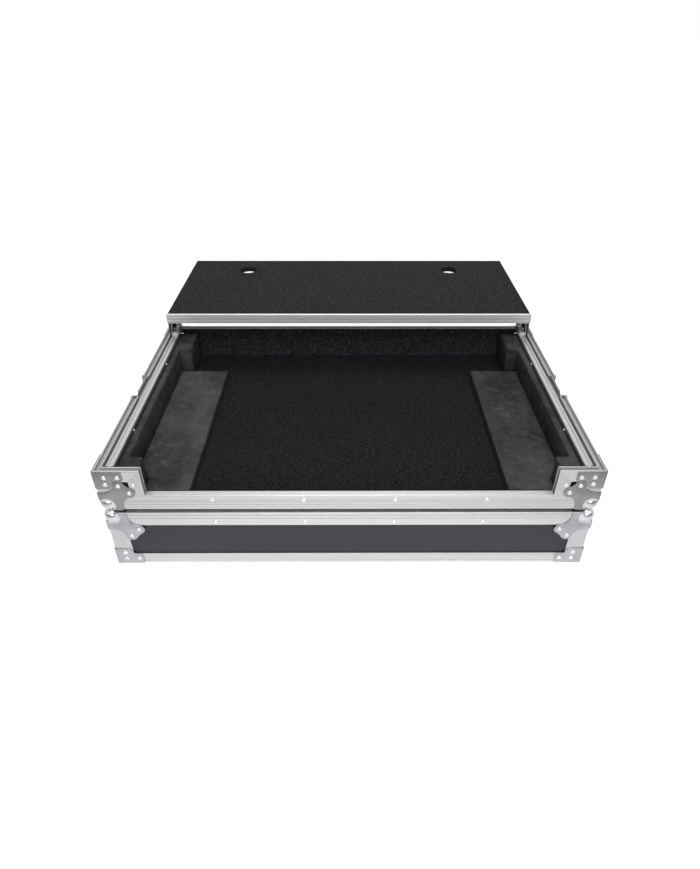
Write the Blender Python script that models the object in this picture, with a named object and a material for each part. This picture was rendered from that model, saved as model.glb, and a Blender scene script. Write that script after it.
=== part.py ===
"""Flight case for a mixing controller: lid underneath, open tray on top of it, sliding laptop shelf.

Metres, +Z up. X runs across the case, Y from the front to the rear. The origin is the middle of
the whole object's footprint at floor level.
"""
import bpy
import bmesh
import math
from mathutils import Vector

# Whole case
CASE_WIDTH = 0.8000
CASE_DEPTH = 0.5145
LID_HEIGHT = 0.1157
TRAY_HEIGHT = 0.0786
FIT = 0.0003               # air left between pieces that touch
LAP = 0.0005               # overlap of shapes that make one piece
STEP = 0.0001              # keeps faces of shapes that make one piece off one plane

# Panels and the extrusions that frame them
SKIN = 0.0017              # wall of an aluminium extrusion
PANEL = 0.0080
EDGE_LEG = 0.0271          # leg of the edge angles
POST_LEG = 0.0300          # leg of the upright corner angles
RIDGE = 0.0005             # depth of the decorative grooves in the extrusions
RIDGE_WIDTH = 0.0022
RIDGE_PLACES = (0.36, 0.68)

# Rim extrusions: a groove round the tray takes the tongue round the lid
RIM_WIDTH = 0.0120
RIM_FACE = 0.0215
RIM_WEB = 0.0080           # from the rim plane down to the panel's edge
LIP = 0.0030
GROOVE_WIDTH = 0.0070
GROOVE_DEPTH = 0.0060
TONGUE = 0.0040            # height of the lid's tongue
TONGUE_WIDTH = 0.0050

# Low front of the tray, left open for the controller's front edge
FRONT_UPSTAND = 0.0733     # width of the upstand at each end
FRONT_CAP_LEG = 0.0150

# Corner hardware
BALL_RADIUS = 0.0138
BALL_INSET = 0.0097        # ball centre to each outer face
PLATE = 0.0012             # pressed steel plate
WING_CLEAR = 0.0200        # where a wing leaves the ball, along an edge
WING_START = 0.0350        # where a wing leaves the edge
LOBE_NEAR = 0.0355         # rivet lobe centres, along each edge
LOBE_FAR = 0.0500
LOBE_RADIUS = 0.0095
HOLLOW_PULL = 0.92         # how tightly a wing's edge is drawn in before its lobe
BRACE_WIDTH = 0.0450
BRACE_HEIGHT = 0.0344
BRACE_CHAMFER = 0.0045
TRAY_BRACE_POST = 0.0250   # width of a brace's upright arm
TRAY_BRACE_RUN = 0.0185    # height of its level arm
TRAY_BRACE_ARC = 0.0101
LID_BRACE_POST = 0.0290
LID_BRACE_RUN = 0.0218
LID_BRACE_ARC = 0.0075
RIVET_RADIUS = 0.0040
RIVET_HEIGHT = 0.0018
RIVET_DOME = ((0.88, 0.55), (0.45, 1.00))    # radius and height of the dome's rings, as shares
BRACE_RIVETS = ((0.0168, 0.0118), (0.0375, 0.0118), (0.0163, 0.0254))
EDGE_RIVET_DROP = 0.0200   # rivet line to the outer corner of an edge angle
FRONT_RIVET_PITCH = 0.1470
FRONT_RIVET_COUNT = 4
SIDE_RIVET_PITCH = 0.1280
SIDE_RIVET_COUNT = 3
POST_RIVET_DROP = 0.0288   # rivet in the front upright, below the rim
POST_RIVET_INSET = 0.0150
POST_RIVET_RADIUS = 0.0033

# Shelf guides inside the tray
SLOT = 0.0055              # gap beside the guide track for the shelf's legs
TRACK_WIDTH = 0.0120
TRACK_HEIGHT = 0.0240
TRACK_RIDGE = 0.0035
TRACK_GROOVE = 0.0030
STRIP = 0.0026
STRIP_HEIGHT = 0.0300
STRIP_DROP = 0.0008
SCREW_RADIUS = 0.0024
SCREW_HEAD = 0.0014
SCREW_DROP = 0.0032
SCREW_PITCH = 0.2050
END_PLAY = 0.0020          # air at the ends of tracks and battens

# Lining and foam
FLOOR_LINING = 0.0015
REAR_LINING = 0.0030
REAR_LINING_DROP = 0.0010  # from the rim's top down to the lining's
FOAM_WALL = 0.0120
FOAM_DROP = 0.0060         # foam tops lie below the rim
FOAM_BLOCK_STEP = 0.0223   # how far the corner blocks stand out from the foam wall
FRONT_BLOCK_DEPTH = 0.0330
REAR_BLOCK_DEPTH = 0.0880
PAD_THICKNESS = 0.0165
PAD_WIDTH = 0.0973
PAD_REAR = 0.4000
PAD_FRONT = 0.0150
LID_FOAM = 0.0150
LID_FOAM_MARGIN = 0.0080

# Laptop shelf
SHELF_FRONT = 0.4590       # pushed all the way back
SHELF_REAR = 0.7850
SHELF_RISE = 0.0520        # top of the board's edging above the tray rim
SHELF_BOARD = 0.0120
SHELF_SET_IN = 0.0023      # board's end inside the bracket's outer leg
SHELF_EDGE_OVERHANG = 0.0015
SHELF_EDGE_FACE = 0.0196
SHELF_EDGE_LIP = 0.0060
SHELF_EDGE_WALL = 0.0012
SHELF_EDGE_PROUD = 0.0006     # lip's top above the board
SHELF_EDGE_RIBS = 3
CABLE_HOLE_RADIUS = 0.0200
CABLE_HOLE_SIDE = 0.1385   # hole's middle from the board's end
CABLE_HOLE_INSET = 0.0640
BRACKET_LENGTH = 0.0330
BRACKET_ARM = 0.1000
BRACKET_PLATE = 0.0030
BRACKET_REACH = 0.0560     # width of the plate under the board
BRACKET_DIP = 0.0140       # how far the outer leg hangs in the slot
BRACKET_FOOT = 0.0015      # inner leg's end above the rim
BRACKET_SPREAD = 0.0130    # how far the inner leg widens inwards
BRACKET_CROWN = 0.0260     # height of the gap between the legs
GLIDE_HEIGHT = 0.0050
GLIDE_PLAY = 0.0005
BOLT_RADIUS = 0.0028
BOLT_HEAD = 0.0024
BOLT_PLACES = ((0.0080, 0.0055), (0.0230, 0.0125))

# Side latches and their keepers
NOTCH_WIDTH = 0.0720
NOTCH_DEPTH = 0.0470
DISH_WALL = 0.0011
DISH_DEPTH = 0.0088        # outer face to the dish's floor
DISH_FLANGE = 0.0060
LATCH_DROP = 0.0250        # key axis below the rim
HOOK_WIDTH = 0.0380
HOOK_PLATE = 0.0018
HOOK_DROP = 0.0370
HOOK_TOP = 0.0012
HOOK_NOSE = 0.0030
HOOK_NOSE_HEIGHT = 0.0040
HOOK_STROKE = 0.0080
SPINDLE_RADIUS = 0.0030
KEY_DISC_RADIUS = 0.0090
KEY_DISC = 0.0014
SPINE_HALF_WIDTH = 0.0018
SPINE_HALF_HEIGHT = 0.0070
SPINE = 0.0022
WING_REACH = 0.0190
WING_SHOULDER = 0.0145     # where a wing starts to narrow
WING_PLATE = 0.0014
WING_ROOT = 0.0110         # half height at the spine
WING_TIP = 0.0060          # half height at the tip
KNUCKLE = 0.0030           # fold axis beside the spine
KEEPER_LIP = 0.0060
KEEPER_WIDTH = 0.0340
KEEPER_SETBACK = 0.0060    # lip from the lid's rim plane
KEEPER_THICKNESS = 0.0022

# Levels and faces worked out from the sizes above
BALL_STANDOFF = BALL_RADIUS - BALL_INSET
HALF = CASE_WIDTH / 2
LID_RIM_Z = TONGUE
LID_TOP_Z = LID_RIM_Z + LID_HEIGHT
TRAY_BOTTOM_Z = LID_TOP_Z + 2 * BALL_STANDOFF + FIT
TRAY_RIM_Z = TRAY_BOTTOM_Z + TRAY_HEIGHT
PANEL_OUT = SKIN + FIT                       # outer face to the panel's outer face
PANEL_IN = PANEL_OUT + PANEL                 # outer face to the panel's inner face
TRAY_FLOOR_Z = TRAY_BOTTOM_Z + PANEL_IN
LID_CEILING_Z = LID_TOP_Z - PANEL_IN
CAP_UNDER_Z = TRAY_BOTTOM_Z + EDGE_LEG + FIT
LOW_FRONT_Z = CAP_UNDER_Z + SKIN
OPENING_HALF = HALF - FRONT_UPSTAND
LINING_TOP_Z = TRAY_FLOOR_Z + FIT + FLOOR_LINING
TRACK_OUT = HALF - RIM_WIDTH - SLOT          # outer face of the guide track, from the middle
TRACK_IN = TRACK_OUT - TRACK_WIDTH
STRIP_OUT = TRACK_IN - FIT
STRIP_IN = STRIP_OUT - STRIP
FOAM_OUT = STRIP_IN - FIT
FOAM_IN = FOAM_OUT - FOAM_WALL
FOAM_BLOCK_FACE = FOAM_IN - FOAM_BLOCK_STEP
FOAM_TOP_Z = TRAY_RIM_Z - FOAM_DROP
PAD_INNER = FOAM_IN - PAD_WIDTH
REAR_LINING_OUT = CASE_DEPTH - PANEL_IN - FIT
REAR_LINING_IN = REAR_LINING_OUT - REAR_LINING
REAR_RIM_IN = CASE_DEPTH - RIM_WIDTH - FIT
GUIDE_FRONT = RIM_WIDTH + END_PLAY
GUIDE_REAR = CASE_DEPTH - RIM_WIDTH - END_PLAY
SHELF_TOP_Z = TRAY_RIM_Z + SHELF_RISE
SHELF_UNDER_Z = SHELF_TOP_Z - SHELF_BOARD
BRACKET_FRONT = SHELF_FRONT + SHELF_EDGE_LIP + FIT
BRACKET_OUT = TRACK_OUT + (SLOT + BRACKET_PLATE) / 2
SHELF_HALF = BRACKET_OUT - SHELF_SET_IN
SHELF_EDGE_HALF = SHELF_HALF + SHELF_EDGE_OVERHANG
CABLE_HOLE_X = SHELF_HALF - CABLE_HOLE_SIDE
NOTCH_MIDDLE = CASE_DEPTH / 2
FOOTPRINT_MIDDLE = (SHELF_REAR - BALL_STANDOFF) / 2

SIDES = (("left", -1), ("right", 1))
ENDS = (("front", -1), ("rear", 1))
CORNERS = tuple((f"{end_name}_{side_name}", side, end) for end_name, end in ENDS for side_name, side in SIDES)

for old in list(bpy.data.objects):
    bpy.data.objects.remove(old, do_unlink=True)

origin = bpy.data.objects.new("case_origin", None)
origin.location = (0, -FOOTPRINT_MIDDLE, 0)
bpy.context.scene.collection.objects.link(origin)


def material(name, colour, roughness, metallic):
    made = bpy.data.materials.new(name)
    made.use_nodes = True
    shader = made.node_tree.nodes["Principled BSDF"]
    shader.inputs["Base Color"].default_value = (*colour, 1)
    shader.inputs["Roughness"].default_value = roughness
    shader.inputs["Metallic"].default_value = metallic
    made.diffuse_color = (*colour, 1)
    return made


ALUMINIUM = material("anodised_aluminium", (0.72, 0.73, 0.74), 0.35, 1.0)
ZINC = material("zinc_plated_steel", (0.56, 0.57, 0.60), 0.38, 1.0)
LAMINATE = material("black_laminate_panel", (0.050, 0.046, 0.058), 0.45, 0.0)
BLACK_BOARD = material("black_textured_board", (0.022, 0.022, 0.024), 0.60, 0.0)
BLACK_STEEL = material("black_steel", (0.030, 0.030, 0.032), 0.45, 0.6)
BLACK_WOOD = material("black_batten", (0.018, 0.018, 0.018), 0.70, 0.0)
FOAM = material("charcoal_foam", (0.055, 0.055, 0.056), 0.95, 0.0)
FELT = material("black_felt", (0.012, 0.012, 0.013), 1.00, 0.0)


def mesh_from(build):
    """Run build on an empty bmesh and return the closed mesh, faces pointing out."""
    shape = bmesh.new()
    build(shape)
    bmesh.ops.recalc_face_normals(shape, faces=shape.faces)
    mesh = bpy.data.meshes.new("shape")
    shape.to_mesh(mesh)
    shape.free()
    return mesh


def piece(name, mesh, finish, at=(0, 0, 0), smooth=False):
    """Place a mesh, built around the point at, as one named sub-part."""
    made = bpy.data.objects.new(name, mesh)
    mesh.name = name
    mesh.materials.clear()
    mesh.materials.append(finish)
    if smooth:
        mesh.shade_smooth()
        mesh.set_sharp_from_angle(angle=math.radians(35))
    made.parent = origin
    made.location = at
    bpy.context.scene.collection.objects.link(made)
    return made


def loft(shape, sections, closed=False):
    """Skin a row of equal outlines, and cap both ends or join the last one to the first."""
    rows = [[shape.verts.new(point) for point in section] for section in sections]
    count = len(rows[0])
    following = rows[1:] + (rows[:1] if closed else [])
    for row, after in zip(rows, following):
        for i in range(count):
            j = (i + 1) % count
            shape.faces.new((row[i], row[j], after[j], after[i]))
    if not closed:
        shape.faces.new(rows[0])
        shape.faces.new(reversed(rows[-1]))


def prism(shape, outline, start, end, axis):
    """Extrude a flat outline along X, Y or Z, from start to end."""
    def place(point, level):
        a, b = point
        return {"X": (level, a, b), "Y": (a, level, b), "Z": (a, b, level)}[axis]
    loft(shape, [[place(point, level) for point in outline] for level in (start, end)])


def prism_mesh(outline, start, end, axis):
    return mesh_from(lambda shape: prism(shape, outline, start, end, axis))


def block(shape, low, high):
    (x0, y0, z0), (x1, y1, z1) = low, high
    prism(shape, ((x0, y0), (x1, y0), (x1, y1), (x0, y1)), z0, z1, "Z")


def block_mesh(low, high):
    return mesh_from(lambda shape: block(shape, low, high))


def block_piece(name, finish, low, high):
    return piece(name, block_mesh(low, high), finish)


def mirrored(side, x_in, x_out):
    """Two distances from the middle plane as an ordered pair of X values on one side."""
    return tuple(sorted((side * x_in, side * x_out)))


def arc(centre, radius, start, end, steps):
    """Points on an arc, angles in degrees, both ends included."""
    angles = [math.radians(start + (end - start) * i / steps) for i in range(steps + 1)]
    return [(centre[0] + radius * math.cos(t), centre[1] + radius * math.sin(t)) for t in angles]


def bezier(start, control, end, steps):
    points = []
    for i in range(steps + 1):
        t = i / steps
        points.append(tuple((1 - t) ** 2 * s + 2 * t * (1 - t) * c + t * t * e
                            for s, c, e in zip(start, control, end)))
    return points


def disc_mesh(centre, radius, start, end, axis, sides):
    outline = arc(centre, radius, 0, 360 - 360 / sides, sides - 1)
    return prism_mesh(outline, start, end, axis)


def boolean(base, tools, operation):
    """Combine meshes with exact booleans and return one mesh."""
    def temporary(mesh):
        made = bpy.data.objects.new("temporary", mesh)
        bpy.context.scene.collection.objects.link(made)
        return made
    body = temporary(base)
    others = [temporary(tool) for tool in tools]
    for other in others:
        step = body.modifiers.new("step", "BOOLEAN")
        step.operation = operation
        step.object = other
        step.solver = "EXACT"
    result = bpy.data.meshes.new_from_object(body.evaluated_get(bpy.context.evaluated_depsgraph_get()))
    for made in [body, *others]:
        bpy.data.objects.remove(made, do_unlink=True)
    return result


def corner_point(side, end, a, b):
    """Plan point a inside the side face and b inside the front or rear face."""
    return side * (HALF - a), b if end < 0 else CASE_DEPTH - b


# Rivets. A rivet is a low dome on a face, given by its foot and the outward direction.
def dome(shape, foot, outward, radius, height, sides=8):
    outward = Vector(outward)
    across = Vector((0, 0, 1)) if abs(outward.z) < 0.5 else Vector((1, 0, 0))
    along = outward.cross(across)
    rings = []
    for size, rise in ((1.0, -FIT), *((size, height * share) for size, share in RIVET_DOME)):
        ring = []
        for i in range(sides):
            turn = 2 * math.pi * (i + 0.5) / sides
            spoke = across * math.cos(turn) + along * math.sin(turn)
            ring.append(Vector(foot) + spoke * radius * size + outward * rise)
        rings.append(ring)
    loft(shape, rings)


def rivet(shape, foot, outward):
    dome(shape, foot, outward, RIVET_RADIUS, RIVET_HEIGHT)


def pitch_row(middle, pitch, count):
    return [middle + pitch * (i - (count - 1) / 2) for i in range(count)]


def corner_rivets(side, end, level, rise, places, flat):
    """Rivets on both upright faces of a corner, and on the flat one if flat is set."""
    stand = PLATE + FIT

    def build(shape):
        for a, b in places:
            x, y = corner_point(side, end, a, -stand)
            rivet(shape, (x, y, level + rise * b), (0, end, 0))
            x, y = corner_point(side, end, -stand, a)
            rivet(shape, (x, y, level + rise * b), (side, 0, 0))
            if flat:
                x, y = corner_point(side, end, a, b)
                rivet(shape, (x, y, level - rise * stand), (0, 0, -rise))
    return mesh_from(build)


def edge_rivets(level, rise):
    z = level + rise * EDGE_RIVET_DROP

    def build(shape):
        for x in pitch_row(0, FRONT_RIVET_PITCH, FRONT_RIVET_COUNT):
            rivet(shape, (x, 0, z), (0, -1, 0))
            rivet(shape, (x, CASE_DEPTH, z), (0, 1, 0))
        for y in pitch_row(NOTCH_MIDDLE, SIDE_RIVET_PITCH, SIDE_RIVET_COUNT):
            for side in (-1, 1):
                rivet(shape, (side * HALF, y, z), (side, 0, 0))
    return mesh_from(build)


# Extrusion profiles. u runs inwards from the outer face, v away from the case's outer corner or
# from the rim plane.
def ridged_leg(length):
    """Outer line of an angle's leg, with two shallow grooves, from the corner to the leg's end."""
    points = []
    for share in RIDGE_PLACES:
        low, high = length * share - RIDGE_WIDTH / 2, length * share + RIDGE_WIDTH / 2
        points += [(0, low), (RIDGE, low), (RIDGE, high), (0, high)]
    return points


def angle_profile(leg):
    """L profile of two equal legs. Its outer corner is at (0, 0)."""
    down = ridged_leg(leg)
    across = [(v, u) for u, v in reversed(down)]
    return [(0, 0), *down, (0, leg), (SKIN, leg), (SKIN, SKIN), (leg, SKIN), (leg, 0), *across]


def rim_profile(mouth):
    """Rim section that grips the panel's edge. mouth is its outline along the rim plane."""
    return [(0, 0), *mouth, (RIM_WIDTH, 0), (RIM_WIDTH, RIM_FACE), (PANEL_IN + FIT, RIM_FACE),
            (PANEL_IN + FIT, RIM_WEB), (SKIN, RIM_WEB), (SKIN, RIM_FACE), (0, RIM_FACE)]


def tray_rim_profile():
    outer, inner = LIP, LIP + GROOVE_WIDTH
    return rim_profile([(outer, 0), (outer, GROOVE_DEPTH), (inner, GROOVE_DEPTH), (inner, 0)])


def lid_rim_profile():
    outer = LIP + (GROOVE_WIDTH - TONGUE_WIDTH) / 2
    inner = outer + TONGUE_WIDTH
    return rim_profile([(outer, 0), (outer, -TONGUE), (inner, -TONGUE), (inner, 0)])


def frame_section(profile, side, end, level, rise, play=0.0):
    """Mitre section of a frame at one corner. rise is +1 where v goes up, -1 where it goes down."""
    return [(*corner_point(side, end, u, u + play), level + rise * v) for u, v in profile]


def frame_ring(profile, level, rise):
    """Closed frame round the case, mitred at its four corners."""
    around = ((-1, -1), (1, -1), (1, 1), (-1, 1))
    sections = [frame_section(profile, side, end, level, rise) for side, end in around]
    return mesh_from(lambda shape: loft(shape, sections, closed=True))


def side_bar(profile, side, level, rise):
    """Bar along one side of the case, mitred at both ends with a hair of play."""
    sections = [frame_section(profile, side, end, level, rise, FIT / 2) for end in (-1, 1)]
    return mesh_from(lambda shape: loft(shape, sections))


# Corner hardware. a and b run along the two edges of a face, away from the corner.
def wing_outline():
    """One wing of a ball corner: two rivet lobes with a shallow notch between them."""
    edge = -PLATE - FIT
    far = arc((LOBE_FAR, LOBE_NEAR), LOBE_RADIUS, -95, 40, 6)
    near = [(b, a) for a, b in reversed(far)]
    bend = LOBE_NEAR - LOBE_RADIUS
    hollow = bezier((WING_START, bend / 4), (WING_START + bend / 8, bend * HOLLOW_PULL), far[0], 3)
    notch = (LOBE_FAR + LOBE_NEAR) / 2 + LOBE_RADIUS * 0.60
    back = [(b, a) for a, b in reversed(hollow)]
    return [(BALL_INSET, BALL_INSET), (WING_CLEAR, edge), (WING_START, edge), *hollow[:-1], *far,
            (notch, notch), *near, *back[1:], (edge, WING_START), (edge, WING_CLEAR)]


def face_plates(side, end, level, rise, outline, trim=0.0):
    """The same plate on the front or rear face and on the side face of a corner.

    trim shortens the second plate a little, so that no faces of the two lie in one plane."""
    inner, outer = -FIT, -FIT - PLATE
    on_end = [(corner_point(side, end, a, 0)[0], level + rise * b) for a, b in outline]
    on_side = [(corner_point(side, end, 0, a + trim)[1], level + rise * (b + trim)) for a, b in outline]
    y0, y1 = (corner_point(side, end, 0, depth)[1] for depth in (outer, inner))
    x0, x1 = (corner_point(side, end, depth, 0)[0] for depth in (outer, inner - trim))
    return prism_mesh(on_end, y0, y1, "Y"), prism_mesh(on_side, x0, x1, "X")


def ball_corner(name, side, end, level, rise):
    """Ball with three riveted wings. The ball is hollowed where the panels' corner sits in it."""
    outline = wing_outline()
    on_end, on_side = face_plates(side, end, level, rise, outline, STEP)
    flat = [corner_point(side, end, a, b) for a, b in outline]
    on_flat = prism_mesh(flat, level - rise * (FIT + PLATE), level - rise * FIT, "Z")

    def ball(shape):
        bmesh.ops.create_uvsphere(shape, u_segments=20, v_segments=12, radius=BALL_RADIUS)
        x, y = corner_point(side, end, BALL_INSET, BALL_INSET)
        bmesh.ops.translate(shape, verts=shape.verts, vec=(x, y, level + rise * BALL_INSET))

    reach = BALL_INSET + 2 * BALL_RADIUS
    hollow = corner_block(side, end, level, rise, SKIN, reach)
    solid_ball = boolean(mesh_from(ball), [hollow], "DIFFERENCE")
    rivets = corner_rivets(side, end, level, rise, LOBES, True)
    whole = boolean(solid_ball, [on_end, on_side, on_flat, rivets], "UNION")
    return piece(name, whole, ZINC, smooth=True)


def corner_block(side, end, level, rise, near, far):
    """Cube at a corner, from near to far inside all three faces."""
    (x0, y0), (x1, y1) = corner_point(side, end, near, near), corner_point(side, end, far, far)
    (x0, x1), (y0, y1) = sorted((x0, x1)), sorted((y0, y1))
    z0, z1 = sorted((level + rise * near, level + rise * far))
    return block_mesh((x0, y0, z0), (x1, y1, z1))


def ball_pockets(level, rise):
    """What the four balls take out of the frame: a sphere each, and the sharp corner outside it."""
    tools = []
    for _, side, end in CORNERS:
        def pocket(shape):
            bmesh.ops.create_uvsphere(shape, u_segments=20, v_segments=12, radius=BALL_RADIUS + FIT)
            x, y = corner_point(side, end, BALL_INSET, BALL_INSET)
            bmesh.ops.translate(shape, verts=shape.verts, vec=(x, y, level + rise * BALL_INSET))
        tools += [mesh_from(pocket), corner_block(side, end, level, rise, -SKIN, BALL_INSET)]
    return tools


LOBES = ((LOBE_FAR, LOBE_NEAR), (LOBE_NEAR, LOBE_FAR))


def rim_brace(name, side, end, level, rise, post, run, bend):
    """Riveted plate wrapped round a corner of the rim."""
    edge = -PLATE - FIT
    hollow = arc((post + bend, run + bend), bend, 270, 180, 5)
    tip = [(post, BRACE_HEIGHT - BRACE_CHAMFER), (post - BRACE_CHAMFER, BRACE_HEIGHT), (edge, BRACE_HEIGHT)]
    outline = [(edge, FIT), (BRACE_WIDTH, FIT), (BRACE_WIDTH, run), *hollow, *tip]
    on_end, on_side = face_plates(side, end, level, rise, outline, STEP)
    rivets = corner_rivets(side, end, level, rise, BRACE_RIVETS, False)
    return piece(name, boolean(on_end, [on_side, rivets], "UNION"), ZINC, smooth=True)


def edge_frame(name, level, rise, post_end):
    """Edge angles round the flat face and the four upright angles that run on to the rim."""
    start = level + rise * (EDGE_LEG - LAP)
    posts = []
    for _, side, end in CORNERS:
        outline = [corner_point(side, end, u + STEP, v + STEP) for u, v in angle_profile(POST_LEG)]
        posts.append(prism_mesh(outline, *sorted((start, post_end)), "Z"))
    ring = boolean(frame_ring(angle_profile(EDGE_LEG), level, rise), ball_pockets(level, rise), "DIFFERENCE")
    return piece(name, boolean(ring, [*posts, edge_rivets(level, rise)], "UNION"), ALUMINIUM, smooth=True)


# Walls. A side wall has a notch in its rim for the latch or the keeper.
def notched_side_panel(name, side, low, high, level, rise):
    y0, y1 = PANEL_OUT, CASE_DEPTH - PANEL_OUT
    n0, n1 = NOTCH_MIDDLE - NOTCH_WIDTH / 2, NOTCH_MIDDLE + NOTCH_WIDTH / 2
    floor = level + rise * NOTCH_DEPTH
    rim, base = (high, low) if rise < 0 else (low, high)
    outline = [(y0, base), (y1, base), (y1, rim), (n1, rim), (n1, floor), (n0, floor), (n0, rim), (y0, rim)]
    x0, x1 = mirrored(side, HALF - PANEL_IN, HALF - PANEL_OUT)
    return piece(name, prism_mesh(outline, x0, x1, "X"), LAMINATE)


def notch_cutters(side, level, rise):
    """Clear a rim bar at the latch: all of it near the rim plane, all but the inner skin below."""
    n0, n1 = NOTCH_MIDDLE - NOTCH_WIDTH / 2, NOTCH_MIDDLE + NOTCH_WIDTH / 2

    def cutter(x_in, z_from, z_to):
        x0, x1 = mirrored(side, x_in, HALF + RIM_WIDTH)
        z0, z1 = sorted((z_from, z_to))
        return block_mesh((x0, n0, z0), (x1, n1, z1))
    web = level + rise * (RIM_WEB + FIT)
    return [cutter(HALF - 2 * RIM_WIDTH, level - rise * RIM_WIDTH, web),
            cutter(HALF - PANEL_IN - FIT / 2, level, level + rise * 2 * NOTCH_DEPTH)]


def lid_shell():
    low = LID_RIM_Z + RIM_WEB + FIT
    high = LID_CEILING_Z - FIT
    inside = HALF - PANEL_IN - FIT
    outside = HALF - PANEL_OUT
    block_piece("lid_top_panel", LAMINATE, (-outside, PANEL_OUT, LID_CEILING_Z),
                (outside, CASE_DEPTH - PANEL_OUT, LID_TOP_Z - PANEL_OUT))
    block_piece("lid_front_panel", LAMINATE, (-inside, PANEL_OUT, low), (inside, PANEL_IN, high))
    block_piece("lid_rear_panel", LAMINATE, (-inside, CASE_DEPTH - PANEL_IN, low),
                (inside, CASE_DEPTH - PANEL_OUT, high))
    for label, side in SIDES:
        notched_side_panel(f"lid_{label}_panel", side, low, high, LID_RIM_Z, 1)
    edge_frame("lid_edge_frame", LID_TOP_Z, -1, LID_RIM_Z + RIM_FACE + FIT)
    cutters = [tool for _, side in SIDES for tool in notch_cutters(side, LID_RIM_Z, 1)]
    rim = boolean(frame_ring(lid_rim_profile(), LID_RIM_Z, 1), cutters, "DIFFERENCE")
    piece("lid_rim_frame", rim, ALUMINIUM)
    margin = PANEL_IN + LID_FOAM_MARGIN
    block_piece("lid_foam_pad", FOAM, (-HALF + margin, margin, LID_CEILING_Z - FIT - LID_FOAM),
                (HALF - margin, CASE_DEPTH - margin, LID_CEILING_Z - FIT))


def tray_front_panel():
    """Low front wall with an upstand at each end, held by the rim's uprights."""
    low = TRAY_FLOOR_Z + FIT
    high = TRAY_RIM_Z - RIM_WEB - FIT
    step = CAP_UNDER_Z - FIT
    inside = HALF - PANEL_IN - FIT
    post = OPENING_HALF + RIM_WEB + FIT
    outline = [(-inside, low), (inside, low), (inside, high), (post, high), (post, step), (-post, step),
               (-post, high), (-inside, high)]
    return piece("tray_front_panel", prism_mesh(outline, PANEL_OUT, PANEL_IN, "Y"), LAMINATE)


def tray_front_rim():
    """Rim over the front upstands, mitred down both sides of the opening, with the low wall's cap."""
    foot = CAP_UNDER_Z + STEP

    def upstand(side):
        start, corner, end = [], [], []
        for u, v in tray_rim_profile():
            start.append((side * (HALF - u - FIT / 2), u, TRAY_RIM_Z - v))
            corner.append((side * (OPENING_HALF + v), u, TRAY_RIM_Z - v))
            end.append((side * (OPENING_HALF + v), u, foot))
        return mesh_from(lambda shape: loft(shape, [start, corner, end]))

    front, inner, back = STEP, PANEL_IN + FIT, RIM_WIDTH - STEP
    low = LOW_FRONT_Z - FRONT_CAP_LEG
    outline = [(front, CAP_UNDER_Z), (inner, CAP_UNDER_Z), (inner, low), (back, low), (back, LOW_FRONT_Z),
               (front, LOW_FRONT_Z)]
    reach = OPENING_HALF + RIM_WEB / 2
    cap = prism_mesh(outline, -reach, reach, "X")

    def post_rivets(shape):
        for side in (-1, 1):
            foot_of = (side * (OPENING_HALF + POST_RIVET_INSET), 0, TRAY_RIM_Z - POST_RIVET_DROP)
            dome(shape, foot_of, (0, -1, 0), POST_RIVET_RADIUS, RIVET_HEIGHT)
    whole = boolean(cap, [upstand(-1), upstand(1), mesh_from(post_rivets)], "UNION")
    return piece("tray_rim_front", whole, ALUMINIUM)


def tray_shell():
    low = TRAY_FLOOR_Z + FIT
    high = TRAY_RIM_Z - RIM_WEB - FIT
    inside = HALF - PANEL_IN - FIT
    outside = HALF - PANEL_OUT
    block_piece("tray_floor_panel", LAMINATE, (-outside, PANEL_OUT, TRAY_BOTTOM_Z + PANEL_OUT),
                (outside, CASE_DEPTH - PANEL_OUT, TRAY_FLOOR_Z))
    tray_front_panel()
    block_piece("tray_rear_panel", LAMINATE, (-inside, CASE_DEPTH - PANEL_IN, low),
                (inside, CASE_DEPTH - PANEL_OUT, high))
    edge_frame("tray_edge_frame", TRAY_BOTTOM_Z, 1, TRAY_RIM_Z - RIM_FACE - FIT)
    tray_front_rim()
    rear = [[(side * (HALF - u - FIT / 2), CASE_DEPTH - u, TRAY_RIM_Z - v) for u, v in tray_rim_profile()]
            for side in (-1, 1)]
    piece("tray_rim_rear", mesh_from(lambda shape: loft(shape, rear)), ALUMINIUM)
    for label, side in SIDES:
        notched_side_panel(f"tray_{label}_panel", side, low, high, TRAY_RIM_Z, -1)
        bar = side_bar(tray_rim_profile(), side, TRAY_RIM_Z, -1)
        notched = boolean(bar, notch_cutters(side, TRAY_RIM_Z, -1), "DIFFERENCE")
        piece(f"tray_rim_{label}", notched, ALUMINIUM)


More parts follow.
